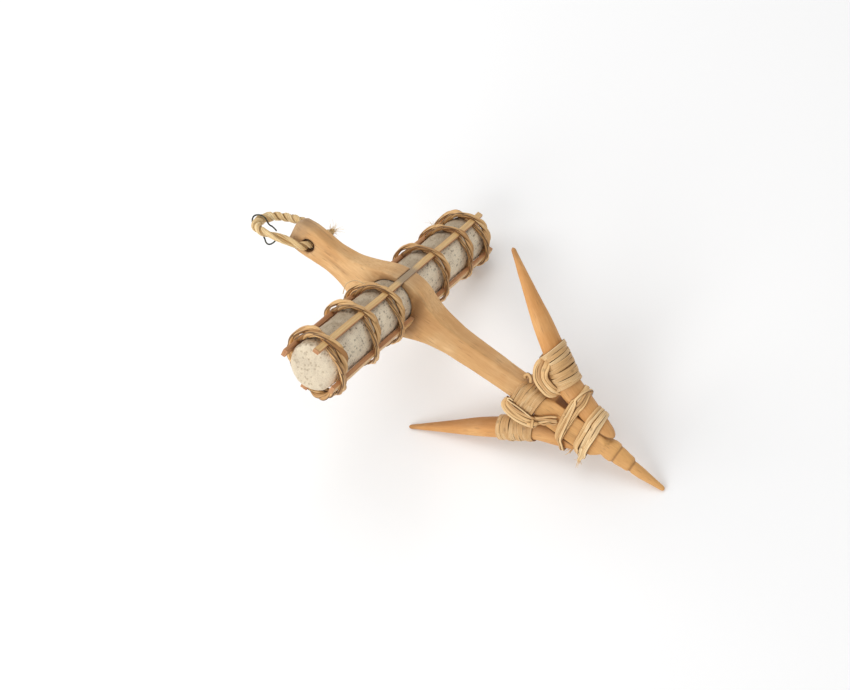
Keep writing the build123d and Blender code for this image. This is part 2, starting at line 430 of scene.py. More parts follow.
def through(points: tuple[tuple[float, ...], ...], closed: bool = False, parts: int = 12) -> Array:
    """A smooth line through points: a Catmull-Rom cubic between each two, cut into equal parts."""
    corners = np.asarray(points, float)
    if closed:
        padded = np.concatenate([corners[-1:], corners, corners[:2]])
    else:
        ends = 2 * corners[[0, -1]] - corners[[1, -2]]
        padded = np.concatenate([ends[:1], corners, ends[1:]])
    share = np.linspace(0, 1, parts, endpoint=False)[None, :, None]
    p, q, r, s = (padded[i:len(padded) - 3 + i, None, :] for i in range(4))
    cubic = 2 * q + (r - p) * share + (2 * p - 5 * q + 4 * r - s) * share**2
    cubic = (cubic + (3 * q - p - 3 * r + s) * share**3) / 2
    line = cubic.reshape(-1, corners.shape[1])
    return line if closed else np.concatenate([line, corners[-1:]])


@dataclass(frozen=True)
class Strip:
    """How a strip of cane, leaf or fibre is cut: sizes in mm, section, and fine ribs."""

    width: float
    thick: float
    profile: Profile = Profile.FLAT
    sides: int = 12
    ribs: int = 3
    rib_height: float = 0.05

    def along(self, path: Path, turn: Array | float = 0.0, scale: Array | float = 1.0,
              tone: float = 0.5, offset: float = 0.0) -> Shell:
        """Carries the strip along a path.

        A section is a superellipse: sideways it reaches a cosine, and outward whatever makes both
        reaches, each to its own power, add up to one. It is a little higher on the ribs, turns by
        turn and grows by scale.

        Args:
            path: The line to follow.
            turn: How far the strip is turned about its own line, in radians.
            scale: The section's size at each point, as a share.
            tone: The strip's own tone, from 0 to 1.
            offset: Moves its grain, so that no two strips look the same.

        Returns:
            The strip's shell.
        """
        _, out, side = path.frames()
        count = len(path.points)
        turn = np.broadcast_to(turn, count)[:, None]
        flat = side * np.cos(turn) + out * np.sin(turn)
        tall = out * np.cos(turn) - side * np.sin(turn)
        angle = np.linspace(0, TAU, self.sides, endpoint=False)
        power_side, power_out = self.profile.value
        across = np.cos(angle)
        rest = np.maximum(1 - np.abs(across) ** power_side, 0)
        deep = np.sign(np.sin(angle)) * rest ** (1 / power_out)
        size = np.broadcast_to(scale, count)[:, None]
        reach_side = across * self.width / 2 * size
        wave = np.cos(across * self.ribs * np.pi)
        ribs = self.rib_height * wave * np.sign(deep)
        reach_out = (deep * self.thick / 2 + ribs * np.abs(deep)) * size
        points = path.points[:, None] + flat[:, None] * reach_side[..., None]
        points = points + tall[:, None] * reach_out[..., None]
        travel = np.broadcast_to(path.distance()[:, None] + offset, reach_side.shape)
        grain = np.stack([travel, reach_side + offset, reach_out], -1)
        edge = np.broadcast_to(np.abs(across), reach_side.shape)
        groove = np.broadcast_to(np.minimum(self.ribs, 1) * ease(-wave, 0.2, 1.0), edge.shape)
        tint = np.stack([np.full_like(edge, tone), edge, groove], -1)
        return grid_shell(points, grain, tint, path.closed)


@dataclass(frozen=True)
class Lane:
    """One strip's place in a bundle: sideways and outward, its share of the width, its tone."""

    sideways: float
    outward: float = 0.0
    share: float = 1.0
    tone: float = 0.5


def bundle(path: Path, strip: Strip, lanes: list[Lane], rng: np.random.Generator,
           wander: float = 0.25, tilt: float = 0.2, taper: float = 0.0) -> list[Shell]:
    """Strips side by side along one path, each wandering a little.

    Args:
        path: The bundle's middle.
        strip: How each strip is cut.
        lanes: The strips' places.
        rng: Where chance comes from.
        wander: How far a strip strays sideways, in mm.
        tilt: How far it rolls, in radians.
        taper: How far from each end an open strip thins out, in mm.

    Returns:
        One shell for each lane.
    """
    travel = path.distance()
    share = travel / (travel[-1] + (0 if not path.closed else travel[1]))
    shells = []
    for lane in lanes:
        phase, waves = rng.uniform(0, TAU, 3), rng.integers(1, 4, 3)
        swing = [np.sin(TAU * wave * share + start) for wave, start in zip(waves, phase)]
        cut = replace(strip, width=strip.width * lane.share)
        line = path.moved(lane.sideways + wander * swing[0], lane.outward + 0.12 * swing[1])
        scale = 1 + 0.06 * swing[2]
        if taper and not path.closed:
            to_end = np.minimum(travel, travel[-1] - travel)
            scale = scale * (0.25 + 0.75 * rounded_end(to_end, taper))
        tone = float(np.clip(lane.tone + rng.normal(0, 0.09), 0, 1))
        shells.append(cut.along(line, tilt * swing[1], scale, tone, rng.uniform(0, 400)))
    return shells


def fibres(starts: Array, heading: Array, count: int, length: float, rng: np.random.Generator,
           radius: float = 0.13, spread: float = 0.6, tone: float = 0.6) -> list[Shell]:
    """Loose frayed fibres: thin tapering hairs that bend as they go.

    Args:
        starts: A few places that they spring from.
        heading: The way they point.
        count: How many.
        length: About how long each is, in mm.
        rng: Where chance comes from.
        radius: How thick they are at the root.
        spread: How far they splay.
        tone: Their tone.

    Returns:
        One shell for each fibre.
    """
    hair = Strip(2 * radius, 1.6 * radius, Profile.ROUND, sides=5, ribs=0, rib_height=0.0)
    share = np.linspace(0, 1, 10)[:, None]
    shells = []
    for number in range(count):
        start = starts[number % len(starts)] + rng.normal(0, 0.5, 3)
        way = unit(np.asarray(heading, float) + rng.normal(0, spread, 3))
        bend = unit(np.cross(way, rng.normal(0, 1, 3))) * rng.uniform(0.1, 0.9)
        reach = length * rng.uniform(0.45, 1.2)
        points = start + reach * (way * share + bend * share**2)
        path = Path(points, np.broadcast_to(unit(np.cross(way, bend)), points.shape))
        shells.append(hair.along(path, 0, 1 - 0.8 * share[:, 0], tone, rng.uniform(0, 400)))
    return shells


# ---------------------------------------------------------------- finishes


def paint(red: int, green: int, blue: int) -> tuple[float, float, float, float]:
    """A colour given as on a colour card, 0 to 255, as the linear light that shaders take."""
    share = np.array([red, green, blue]) / 255
    linear = np.where(share <= 0.04045, share / 12.92, ((share + 0.055) / 1.055) ** 2.4)
    return (*(float(value) for value in linear), 1.0)


class NodeSheet:
    """Adds nodes to one tree: a material's or a group's."""

    def __init__(self, tree: bpy.types.NodeTree) -> None:
        """Keeps the tree."""
        self.tree = tree

    def add(self, kind: str, inputs: dict | None = None, **settings: object) -> bpy.types.Node:
        """Adds a node.

        Args:
            kind: Its type, without the ShaderNode in front.
            inputs: What each input takes: a value, or another node's output.
            settings: The node's own properties.

        Returns:
            The node.
        """
        node = self.tree.nodes.new("ShaderNode" + kind)
        for name, value in settings.items():
            setattr(node, name, value)
        for key, value in (inputs or {}).items():
            if isinstance(value, bpy.types.NodeSocket):
                self.tree.links.new(value, node.inputs[key])
            else:
                node.inputs[key].default_value = value
        return node

    def math(self, operation: str, *values: object) -> bpy.types.NodeSocket:
        """The result of a sum on two values."""
        return self.add("Math", dict(enumerate(values)), operation=operation).outputs[0]

    def times(self, first: object, second: object) -> bpy.types.NodeSocket:
        """Two values multiplied."""
        return self.math("MULTIPLY", first, second)

    def scaled(self, place: object, sizes: object) -> bpy.types.NodeSocket:
        """A place multiplied axis by axis."""
        return self.add("VectorMath", {0: place, 1: sizes}, operation="MULTIPLY").outputs[0]

    def noise(self, place: object, scale: object, detail: float,
              rough: float = 0.5) -> bpy.types.NodeSocket:
        """Smooth noise at a place, about a half on average."""
        inputs = {"Vector": place, "Scale": scale, "Detail": detail, "Roughness": rough}
        return self.add("TexNoise", inputs).outputs["Fac"]

    def mix(self, share: object, first: object, second: object) -> bpy.types.NodeSocket:
        """Two colours mixed by a share."""
        inputs = {0: share, 6: first, 7: second}
        return self.add("Mix", inputs, data_type="RGBA").outputs[2]

    def over(self, colour: object, other: object, mask: object,
             share: float) -> bpy.types.NodeSocket:
        """A colour with that share of another over it, as far as a mask says."""
        return self.mix(self.times(mask, share), colour, other)

    def span(self, value: object, low: float, high: float, to_low: float = 0.0,
             to_high: float = 1.0) -> bpy.types.NodeSocket:
        """A value's place between low and high, eased and held at both ends."""
        inputs = {0: value, 1: low, 2: high, 3: to_low, 4: to_high}
        return self.add("MapRange", inputs, interpolation_type="SMOOTHSTEP").outputs[0]


def group(name: str, inputs: dict[str, str], outputs: dict[str, str],
          fill: Callable[[NodeSheet, dict], dict]) -> bpy.types.NodeTree:
    """Makes a shader node group with named inputs and outputs.

    Args:
        name: The group's name.
        inputs: Each input's name and kind.
        outputs: Each output's name and kind.
        fill: Given the sheet and the inputs, returns what each output takes.

    Returns:
        The group's tree.
    """
    tree = bpy.data.node_groups.new(name, "ShaderNodeTree")
    for direction, sockets in (("INPUT", inputs), ("OUTPUT", outputs)):
        for socket, kind in sockets.items():
            tree.interface.new_socket(socket, in_out=direction, socket_type="NodeSocket" + kind)
    given, taken = tree.nodes.new("NodeGroupInput"), tree.nodes.new("NodeGroupOutput")
    for socket, value in fill(NodeSheet(tree), {key: given.outputs[key] for key in inputs}).items():
        tree.links.new(value, taken.inputs[socket])
    return tree


def fill_fibre(sheet: NodeSheet, given: dict) -> dict:
    """Streaks that run along the grain: noise on a place squeezed along its first axis."""
    squeeze = sheet.math("DIVIDE", 1.0, given["Stretch"])
    scale = sheet.add("CombineXYZ", {0: squeeze, 1: 1.0, 2: 1.0}).outputs[0]
    place = sheet.scaled(given["Place"], scale)
    return {
        "Broad": sheet.span(sheet.noise(place, given["Broad"], 3.0, 0.55), 0.3, 0.7),
        "Fine": sheet.span(sheet.noise(place, given["Fine"], 4.0, 0.65), 0.28, 0.72),
    }


def fill_specks(sheet: NodeSheet, given: dict) -> dict:
    """Scattered specks: places near a cell's own point, where a slow noise lets them show."""
    cells = {"Vector": given["Place"], "Scale": given["Scale"], "Randomness": 1.0}
    voronoi = sheet.add("TexVoronoi", cells)
    own = sheet.add("SeparateColor", {0: voronoi.outputs["Color"]}).outputs[0]
    shown = sheet.math("LESS_THAN", own, given["Share"])
    near = sheet.span(voronoi.outputs["Distance"], 0.14, 0.42, 1.0, 0.0)
    return {"Specks": sheet.times(near, shown)}


class Effects:
    """The shared groups, made once."""

    def __init__(self) -> None:
        """Builds the groups."""
        kinds = {"Place": "Vector", "Stretch": "Float", "Broad": "Float", "Fine": "Float"}
        both = {"Broad": "Float", "Fine": "Float"}
        self.fibre = group("fibre_streaks", kinds, both, fill_fibre)
        kinds = {"Place": "Vector", "Scale": "Float", "Share": "Float"}
        self.specks = group("scattered_specks", kinds, {"Specks": "Float"}, fill_specks)

    def streaks(self, sheet: NodeSheet, place: object, stretch: float, broad: float,
                fine: float) -> tuple[bpy.types.NodeSocket, bpy.types.NodeSocket]:
        """The fibre group's two outputs, broad and fine."""
        inputs = {"Place": place, "Stretch": stretch, "Broad": broad, "Fine": fine}
        node = sheet.add("Group", inputs, node_tree=self.fibre)
        return node.outputs["Broad"], node.outputs["Fine"]

    def dots(self, sheet: NodeSheet, place: object, scale: float,
             share: float) -> bpy.types.NodeSocket:
        """The speck group's output."""
        inputs = {"Place": place, "Scale": scale, "Share": share}
        return sheet.add("Group", inputs, node_tree=self.specks).outputs["Specks"]


class Finish:
    """What all finishes share: fill works out colour, roughness and height, and make joins them.

    relief is how deep the height shows, in mm.
    """

    name: str
    relief: ClassVar[float] = 0.05
    specular: ClassVar[float] = 0.5
    metallic: ClassVar[float] = 0.0

    def fill(self, effects: Effects, sheet: NodeSheet, place: object, *marks: object) -> tuple:
        """The finish's colour, roughness and height, from the grain place and the tint marks."""
        raise NotImplementedError

    def make(self, effects: Effects) -> bpy.types.Material:
        """Builds the material."""
        material = bpy.data.materials.new(self.name)
        material.use_nodes = True
        sheet = NodeSheet(material.node_tree)
        shader = material.node_tree.nodes["Principled BSDF"]
        place = sheet.add("Attribute", attribute_name="grain").outputs["Vector"]
        tint = sheet.add("Attribute", attribute_name="tint").outputs["Vector"]
        marks = sheet.add("SeparateXYZ", {0: tint}).outputs
        colour, rough, height = self.fill(effects, sheet, place, *marks)
        inputs = {"Height": height, "Strength": 0.7, "Distance": self.relief * MM}
        bump = sheet.add("Bump", inputs).outputs[0]
        for key, value in (("Base Color", colour), ("Roughness", rough), ("Normal", bump)):
            sheet.tree.links.new(value, shader.inputs[key])
        shader.inputs["Specular IOR Level"].default_value = self.specular
        shader.inputs["Metallic"].default_value = self.metallic
        return material


@dataclass(frozen=True)
class WoodFinish(Finish):
    """Bare carved wood: fine streaks, small pores, soft grey dirt, darker cut edges, painted shade.
    """

    name: str
    pale: tuple
    warm: tuple
    streak: tuple
    dirt: tuple = paint(150, 128, 104)
    # cut colours the cut edges, and also the painted shade on the boss and the lower arm.
    cut: tuple = paint(112, 72, 42)
    amber: tuple = paint(236, 180, 108)
    specular: ClassVar[float] = 0.35

    def fill(self, effects: Effects, sheet: NodeSheet, place: object, *marks: object) -> tuple:
        """Pale and warm wood in slow patches, then streaks, pores, dirt, and cuts with painted
        shade.
        """
        dirt, cut, warmth = marks
        broad, fine = effects.streaks(sheet, place, 9.0, 0.16, 1.1)
        patches = sheet.span(sheet.noise(place, 0.055, 2.0), 0.35, 0.65)
        colour = sheet.mix(patches, self.pale, self.warm)
        colour = sheet.mix(warmth, colour, self.amber)
        colour = sheet.over(colour, self.streak, broad, 0.45)
        colour = sheet.over(colour, self.streak, fine, 0.42)
        pores = effects.dots(sheet, sheet.scaled(place, (0.12, 1.0, 1.0)), 1.1, 0.2)
        colour = sheet.over(colour, self.cut, pores, 0.3)
        # The cut mark holds the cut edges and the painted shade alike.
        colour = sheet.mix(cut, sheet.mix(dirt, colour, self.dirt), self.cut)
        height = sheet.math("SUBTRACT", sheet.math("ADD", broad, fine), pores)
        return colour, sheet.span(fine, 0.0, 1.0, 0.52, 0.7), height


@dataclass(frozen=True)
class CaneFinish(Finish):
    """Split cane, leaf or bast: lengthwise fibres, each strip's own tone, dark edges.

    The dark edges are painted shade, with dirt, in the gaps between strips.
    """

    name: str
    light: tuple
    middle: tuple
    dark: tuple
    # gap colours the blots, and the strip edges as painted shade with dirt between strips.
    gap: tuple
    rib: float = 1.5
    edge_shade: float = 0.8
    relief: ClassVar[float] = 0.07
    specular: ClassVar[float] = 0.4

    def fill(self, effects: Effects, sheet: NodeSheet, place: object, *marks: object) -> tuple:
        """Dark, middle and light by the strip's tone, then fibres, blots, grooves and edges.

        The edges are darkened as painted shade, with dirt, in the gaps between strips.
        """
        tone, edge, groove = marks
        broad, fine = effects.streaks(sheet, place, 22.0, 0.45, self.rib)
        share = sheet.math("ADD", tone, sheet.times(sheet.math("SUBTRACT", broad, 0.5), 0.5))
        colour = sheet.mix(sheet.span(share, 0.0, 0.5), self.dark, self.middle)
        colour = sheet.mix(sheet.span(share, 0.5, 1.0), colour, self.light)
        colour = sheet.over(colour, self.dark, fine, 0.58)
        colour = sheet.over(colour, self.gap, effects.dots(sheet, place, 0.28, 0.12), 0.35)
        colour = sheet.over(colour, self.dark, groove, 0.75)
        # Painted shade, with dirt, in the gaps: each strip darkens towards its edges.
        colour = sheet.over(colour, self.gap, sheet.span(edge, 0.86, 1.0), self.edge_shade)
        height = sheet.math("SUBTRACT", sheet.times(broad, 0.5), fine)
        return colour, sheet.span(fine, 0.0, 1.0, 0.42, 0.62), height


@dataclass(frozen=True)
class SplintFinish(Finish):
    """A split cane splint: straw-coloured skin on its outer face, reddish wood on its sides."""

    name: str = "splint_cane"
    skin: tuple = paint(242, 208, 144)
    skin_dark: tuple = paint(214, 172, 108)
    heart: tuple = paint(166, 110, 70)
    heart_light: tuple = paint(204, 152, 106)
    dust: tuple = paint(142, 126, 108)

    def fill(self, effects: Effects, sheet: NodeSheet, place: object, *marks: object) -> tuple:
        """Skin or heart by the side mark, then fibres, the splint's tone and dust."""
        tone, side, dust = marks
        broad, fine = effects.streaks(sheet, place, 26.0, 0.6, 2.6)
        skin = sheet.over(self.skin, self.skin_dark, broad, 0.7)
        colour = sheet.mix(side, skin, sheet.mix(broad, self.heart, self.heart_light))
        colour = sheet.over(colour, self.heart, fine, 0.4)
        colour = sheet.over(colour, self.heart_light, tone, 0.35)
        rough = sheet.span(side, 0.0, 1.0, 0.4, 0.66)
        return sheet.mix(dust, colour, self.dust), rough, sheet.math("ADD", fine, broad)


@dataclass(frozen=True)
class StoneFinish(Finish):
    """Rough pale stone: cream and grey patches, grains, and dark pores."""

    name: str = "pale_stone"
    cream: tuple = paint(240, 226, 200)
    grey: tuple = paint(228, 214, 190)
    # grain also colours the grime mark, which holds painted shade beside the rings.
    grain: tuple = paint(164, 146, 122)
    pore: tuple = paint(84, 70, 56)
    relief: ClassVar[float] = 0.22
    specular: ClassVar[float] = 0.2

    def fill(self, effects: Effects, sheet: NodeSheet, place: object, *marks: object) -> tuple:
        """Patches and grit, then specks, pores, and grime with its own specks, with painted shade.
        """
        pore, grime_and_shade, flank = marks
        slow, grit = sheet.noise(place, 0.12, 5.0, 0.6), sheet.noise(place, 1.7, 5.0, 0.75)
        colour = sheet.mix(sheet.span(slow, 0.35, 0.65), self.cream, self.grey)
        colour = sheet.mix(sheet.span(grit, 0.47, 0.72, 0.0, 0.5), colour, self.grain)
        fine_specks = effects.dots(sheet, place, 1.9, 0.3)
        specks = sheet.math("MAXIMUM", effects.dots(sheet, place, 0.95, 0.24), fine_specks)
        specks = sheet.times(specks, sheet.span(slow, 0.32, 0.6, 0.2, 0.75))
        specks = sheet.times(specks, sheet.span(flank, 0.0, 1.0, 0.22, 1.0))
        colour = sheet.over(sheet.mix(specks, colour, self.pore), self.pore, pore, 0.75)
        dusty = sheet.times(sheet.span(grime_and_shade, 0.2, 0.6), fine_specks)
        # Real grime, and painted shade beside the rings, both mix in the grain colour.
        colour = sheet.over(sheet.mix(grime_and_shade, colour, self.grain), self.pore, dusty, 0.8)
        height = sheet.math("SUBTRACT", grit, sheet.times(specks, 0.8))
        return colour, sheet.span(grit, 0.3, 0.7, 0.8, 0.97), height


@dataclass(frozen=True)
class WireFinish(Finish):
    """Old drawn wire: greenish black, with duller patches."""

    name: str = "dull_wire"
    bright: tuple = paint(74, 74, 62)
    dull: tuple = paint(36, 38, 32)
    relief: ClassVar[float] = 0.02
    metallic: ClassVar[float] = 0.8

    def fill(self, effects: Effects, sheet: NodeSheet, place: object, *marks: object) -> tuple:
        """Patches over the object's own place, because a curve has no marks."""
        patch = sheet.noise(sheet.add("TexCoord").outputs["Object"], 420.0, 4.0)
        colour = sheet.mix(sheet.span(patch, 0.35, 0.65), self.dull, self.bright)
        return colour, sheet.span(patch, 0.3, 0.7, 0.55, 0.3), patch


# ---------------------------------------------------------------- the wooden pieces


@dataclass
class Shank:
    """The carved shank in one piece: head, boss, neck, crown, beads and point."""

    stations: tuple = (
        (-69.5, -1.2, 6.6, 4.4, 2.0), (-66.8, -0.9, 8.3, 5.9, 2.4), (-60.0, -0.8, 8.9, 6.3, 2.4),
        (-42.0, -1.2, 7.6, 5.7, 2.2), (-30.0, -1.6, 8.6, 6.5, 2.0), (-20.0, -1.4, 11.9, 7.1, 1.4),
        (-12.0, -0.6, 15.3, 7.5, 0.9), (-3.0, 0.0, 17.2, 7.9, 0.7), (5.0, 0.0, 17.2, 7.9, 0.7),
        (12.0, 0.0, 16.0, 7.9, 0.7), (16.0, -0.1, 14.2, 7.8, 0.8), (20.0, -0.2, 12.2, 7.7, 0.9),
        (25.0, 0.1, 10.1, 7.6, 1.0), (30.0, 0.3, 8.6, 7.4, 1.2), (42.0, 0.4, 6.9, 7.0, 1.5),
        (60.0, 0.5, 6.5, 6.4, 1.8), (85.6, 0.5, 6.3, 6.1, 2.0), (101.1, 0.5, 6.3, 6.1, 2.0),
        (108.0, 0.35, 8.55, 5.6, 1.4), (130.0, 0.35, 8.55, 5.3, 1.4), (139.0, 0.35, 7.65, 5.1, 1.4),
        (142.6, 0.9, 6.0, 5.2, 3.4), (144.0, 1.2, 5.3, 5.3, 5.3), (147.0, 1.2, 6.0, 6.0, 6.0),
        (150.0, 1.2, 5.9, 5.9, 5.9), (151.2, 1.2, 4.8, 4.8, 4.8), (152.4, 1.1, 5.2, 5.2, 5.2),
        (157.0, 0.9, 4.6, 4.6, 4.6), (160.4, 0.7, 4.3, 4.3, 4.3), (161.6, 0.5, 3.0, 3.0, 3.0),
        (163.0, 0.3, 3.4, 3.4, 3.4), (168.0, 0.1, 3.1, 3.1, 3.1), (175.0, 0.1, 2.2, 2.2, 2.2),
        (181.8, 0.1, 1.4, 1.4, 1.4), (183.0, 0.1, 1.1, 1.1, 1.1),
    )
    row_step: float = 0.5
    columns: int = 96
    hole_radius: float = 14.15
    slot_width: float = 4.0
    eye: tuple = (-57.0, -1.4, 3.8)
    cracks: tuple = (
        (-64.0, -30.0, 2.6, -0.02), (-52.0, -24.0, -1.8, 0.03), (-70.0, -44.0, 12.4, 0.02),
        (10.0, 48.0, 2.0, -0.03), (112.0, 137.0, -3.0, 0.05),
    )
    noise: Noise = field(default_factory=lambda: Noise(11))

    def sizes(self, x: Array) -> Array:
        """Centre height, half height, half thickness and corner at each x, with soft shoulders."""
        table = np.array(self.stations)
        dense = np.arange(x.min() - 8, x.max() + 8, self.row_step)
        found = []
        for column in range(1, 5):
            straight = np.interp(dense, table[:, 0], table[:, column])
            soft, crisp = blur(straight, 5.0), blur(straight, 0.8)
            share = ease(dense, 70, 84) + fade(dense, -68, -60)
            found.append(np.interp(x, dense, soft + (crisp - soft) * share))
        return np.stack(found, -1)

    def body(self) -> Shell:
        """The uncut shank.

        Round each section, an angle gives a point on a rounded rectangle: the nearest corner's
        centre, plus the corner's radius along the angle. Between corners the centre slides along
        the flat. A section is a little uneven, as a knife leaves it, and the ends are rounded off.
        """
        x = np.arange(self.stations[0][0], self.stations[-1][0] + self.row_step / 2, self.row_step)
        centre, height, thick, corner = self.sizes(x).T
        end = rounded_end(self.stations[-1][0] + 0.3 - x, 1.4)
        start = 0.86 + 0.14 * rounded_end(x - self.stations[0][0], 1.6)
        height, thick, corner = (size * end * start for size in (height, thick, corner))
        corner = np.minimum(corner, np.minimum(height, thick) * 0.999)[:, None]
        quarter = np.linspace(0, np.pi / 2, self.columns // 4 - 5)
        flats = np.linspace(-1, 1, 7)[1:-1]
        seats, ways = [], []
        for turn in range(4):
            angle = np.concatenate([quarter, quarter[-1] + 0 * flats]) + turn * np.pi / 2
            way = np.stack([np.cos(angle), np.sin(angle)])
            seat = np.repeat(np.sign(way[:, 5:6]), len(angle), 1)
            seat[turn % 2, len(quarter):] *= -flats
            seats.append(seat)
            ways.append(way)
        seat, way = np.concatenate(seats, 1), np.concatenate(ways, 1)
        across = seat[0] * (thick[:, None] - corner) + corner * way[0]
        up = seat[1] * (height[:, None] - corner) + corner * way[1] + centre[:, None]
        out = np.stack([0 * way[0], *way], -1)
        points = np.stack([np.broadcast_to(x[:, None], across.shape), across, up], -1)
        uneven = 0.22 * self.noise.value(points, (16, 7, 7))
        uneven = uneven + 0.07 * self.noise.value(points, (7, 2, 2))
        points = points + out * (uneven * np.clip(thick / 5, 0.2, 1)[:, None])[..., None]
        return grid_shell(points, points, np.zeros_like(points))

    def marks(self, points: Array) -> Array:
        """Dirt, cut-edge and warmth marks; the cut-edge mark also holds painted shade.

        Args:
            points: Places on the shank.

        Returns:
            For each place: grey dirt at the head and on the boss; dark round the hole, the slot,
            the eye, the arms' seats, the beads and the cracks; painted shade on the boss's near
            face beside the hole, towards the crown, in the same mark; and warmth towards the crown.
        """
        x, y, z = points.T
        ragged = 0.5 * self.noise.value(points, 1.6)
        hole = np.hypot(x, z) - self.hole_radius + 0.5 * ragged
        slot = np.abs(x) - self.slot_width / 2 + 0.4 * ragged
        eye = np.hypot(x - self.eye[0], z - self.eye[1]) - self.eye[2]
        seam = np.abs(np.abs(z - 0.35) - 8.55)
        # Painted shade: the shadow that the stone and its lashing cast on the boss's near face.
        painted_shade = ease(hole, 0.2, 1.0) * fade(hole + 2 * ragged, 3, 12)
        cuts = [
            fade(hole, 0.1, 0.9) * 0.6,
            fade(slot, 0.15, 0.8) * ease(z, 12, 14) * 0.55,
            fade(eye, 0.2, 1.2) * 0.75,
            fade(seam, 0.1, 0.5) * ease(x, 106, 109) * fade(x, 138, 141) * 0.7,
            fade(np.abs(x - 151.3), 0.2, 0.9) * 0.5,
            fade(np.abs(x - 161.6), 0.2, 0.9) * 0.5,
            # Painted shade on the boss's near face, on the crown side of the hole.
            painted_shade * ease(x, 8, 15) * fade(y, -7, -5) * 0.6,
        ]
        side = np.where(y < -3, z, 0.6 * y + 12)
        for start, end, height, slope in self.cracks:
            gap = np.abs(side - height - slope * (x - start) - 0.25 * ragged)
            within = ease(x, start, start + 3) * fade(x, end - 6, end)
            cuts.append(fade(gap, 0.15, 0.8) * within * 0.3)
        dirt = fade(x + 4 * ragged, -68, -55) * 0.6
        boss = ease(z + 2 * ragged, 12, 17) * fade(np.abs(x), 4, 14) * 0.3
        warmth = 0.85 * ease(x, 70, 112)
        return np.stack([np.maximum(dirt, boss), np.maximum.reduce(cuts), warmth], -1)

    def cutters(self) -> list[Shell]:
        """What is taken out: the stone's hole, the flared eye and the splint's slot."""
        reach = np.linspace(-20, 20, 41)
        angle = np.linspace(0, TAU, 96, endpoint=False)

        def barrel(x: float, z: float, radius: float, flare: tuple[float, float, float],
                   rough: float) -> Shell:
            """A rough barrel across the shank, wider by flare's first number at its mouths."""
            around = np.broadcast_to(angle, (len(reach), len(angle)))
            deep = np.broadcast_to(reach[:, None], around.shape)
            place = np.stack([np.cos(around) * 9, deep, np.sin(around) * 9], -1)
            size = radius + flare[0] * ease(np.abs(deep), *flare[1:])
            size = size + rough * self.noise.value(place, (2.0, 3.0, 2.0))
            points = np.stack([x + size * np.cos(around), deep, z + size * np.sin(around)], -1)
            return grid_shell(points, points, points)

        hole = barrel(0, 0, self.hole_radius, (0.25, 7, 9), 0.12)
        eye = barrel(*self.eye, (0.35, 4, 7.5), 0.1)
        height = np.linspace(2, 24, 12)
        loop = np.array([(-1, -1), (0, -1), (1, -1), (1, 0), (1, 1), (0, 1), (-1, 1), (-1, 0)])
        half = np.array([self.slot_width / 2, 14.0])
        points = np.empty((len(height), len(loop), 3))
        points[..., :2] = loop * half
        points[..., 2] = height[:, None]
        points[..., 0] += 0.12 * self.noise.value(points, 3.0)
        return [hole, eye, grid_shell(points, points, points)]

    def build(self, layout: Layout, material: bpy.types.Material) -> None:
        """Makes the shank, cuts it and marks what is left."""
        body = link("shank_body", make_mesh("shank_body", self.body(), layout))
        for number, shell in enumerate(self.cutters()):
            tool = link(f"shank_tool_{number}", make_mesh("tool", shell, layout))
            cut = body.modifiers.new(f"cut_{number}", "BOOLEAN")
            cut.object, cut.operation, cut.solver = tool, "DIFFERENCE", "EXACT"
        bpy.context.view_layer.update()
        graph = bpy.context.evaluated_depsgraph_get()
        mesh = bpy.data.meshes.new_from_object(body.evaluated_get(graph))
        for item in [body] + [cut.object for cut in body.modifiers]:
            bpy.data.objects.remove(item)
        points = layout.lift(points_of(mesh))
        for name in ("grain", "tint"):
            mesh.attributes.remove(mesh.attributes[name])
        mark(mesh, "grain", points)
        mark(mesh, "tint", self.marks(points))
        mesh.materials.clear()
        mesh.shade_smooth()
        mesh.set_sharp_from_angle(angle=np.radians(38))
        add_piece(mesh, "carved_shank", material, Slot.SHANK, ("shank",))


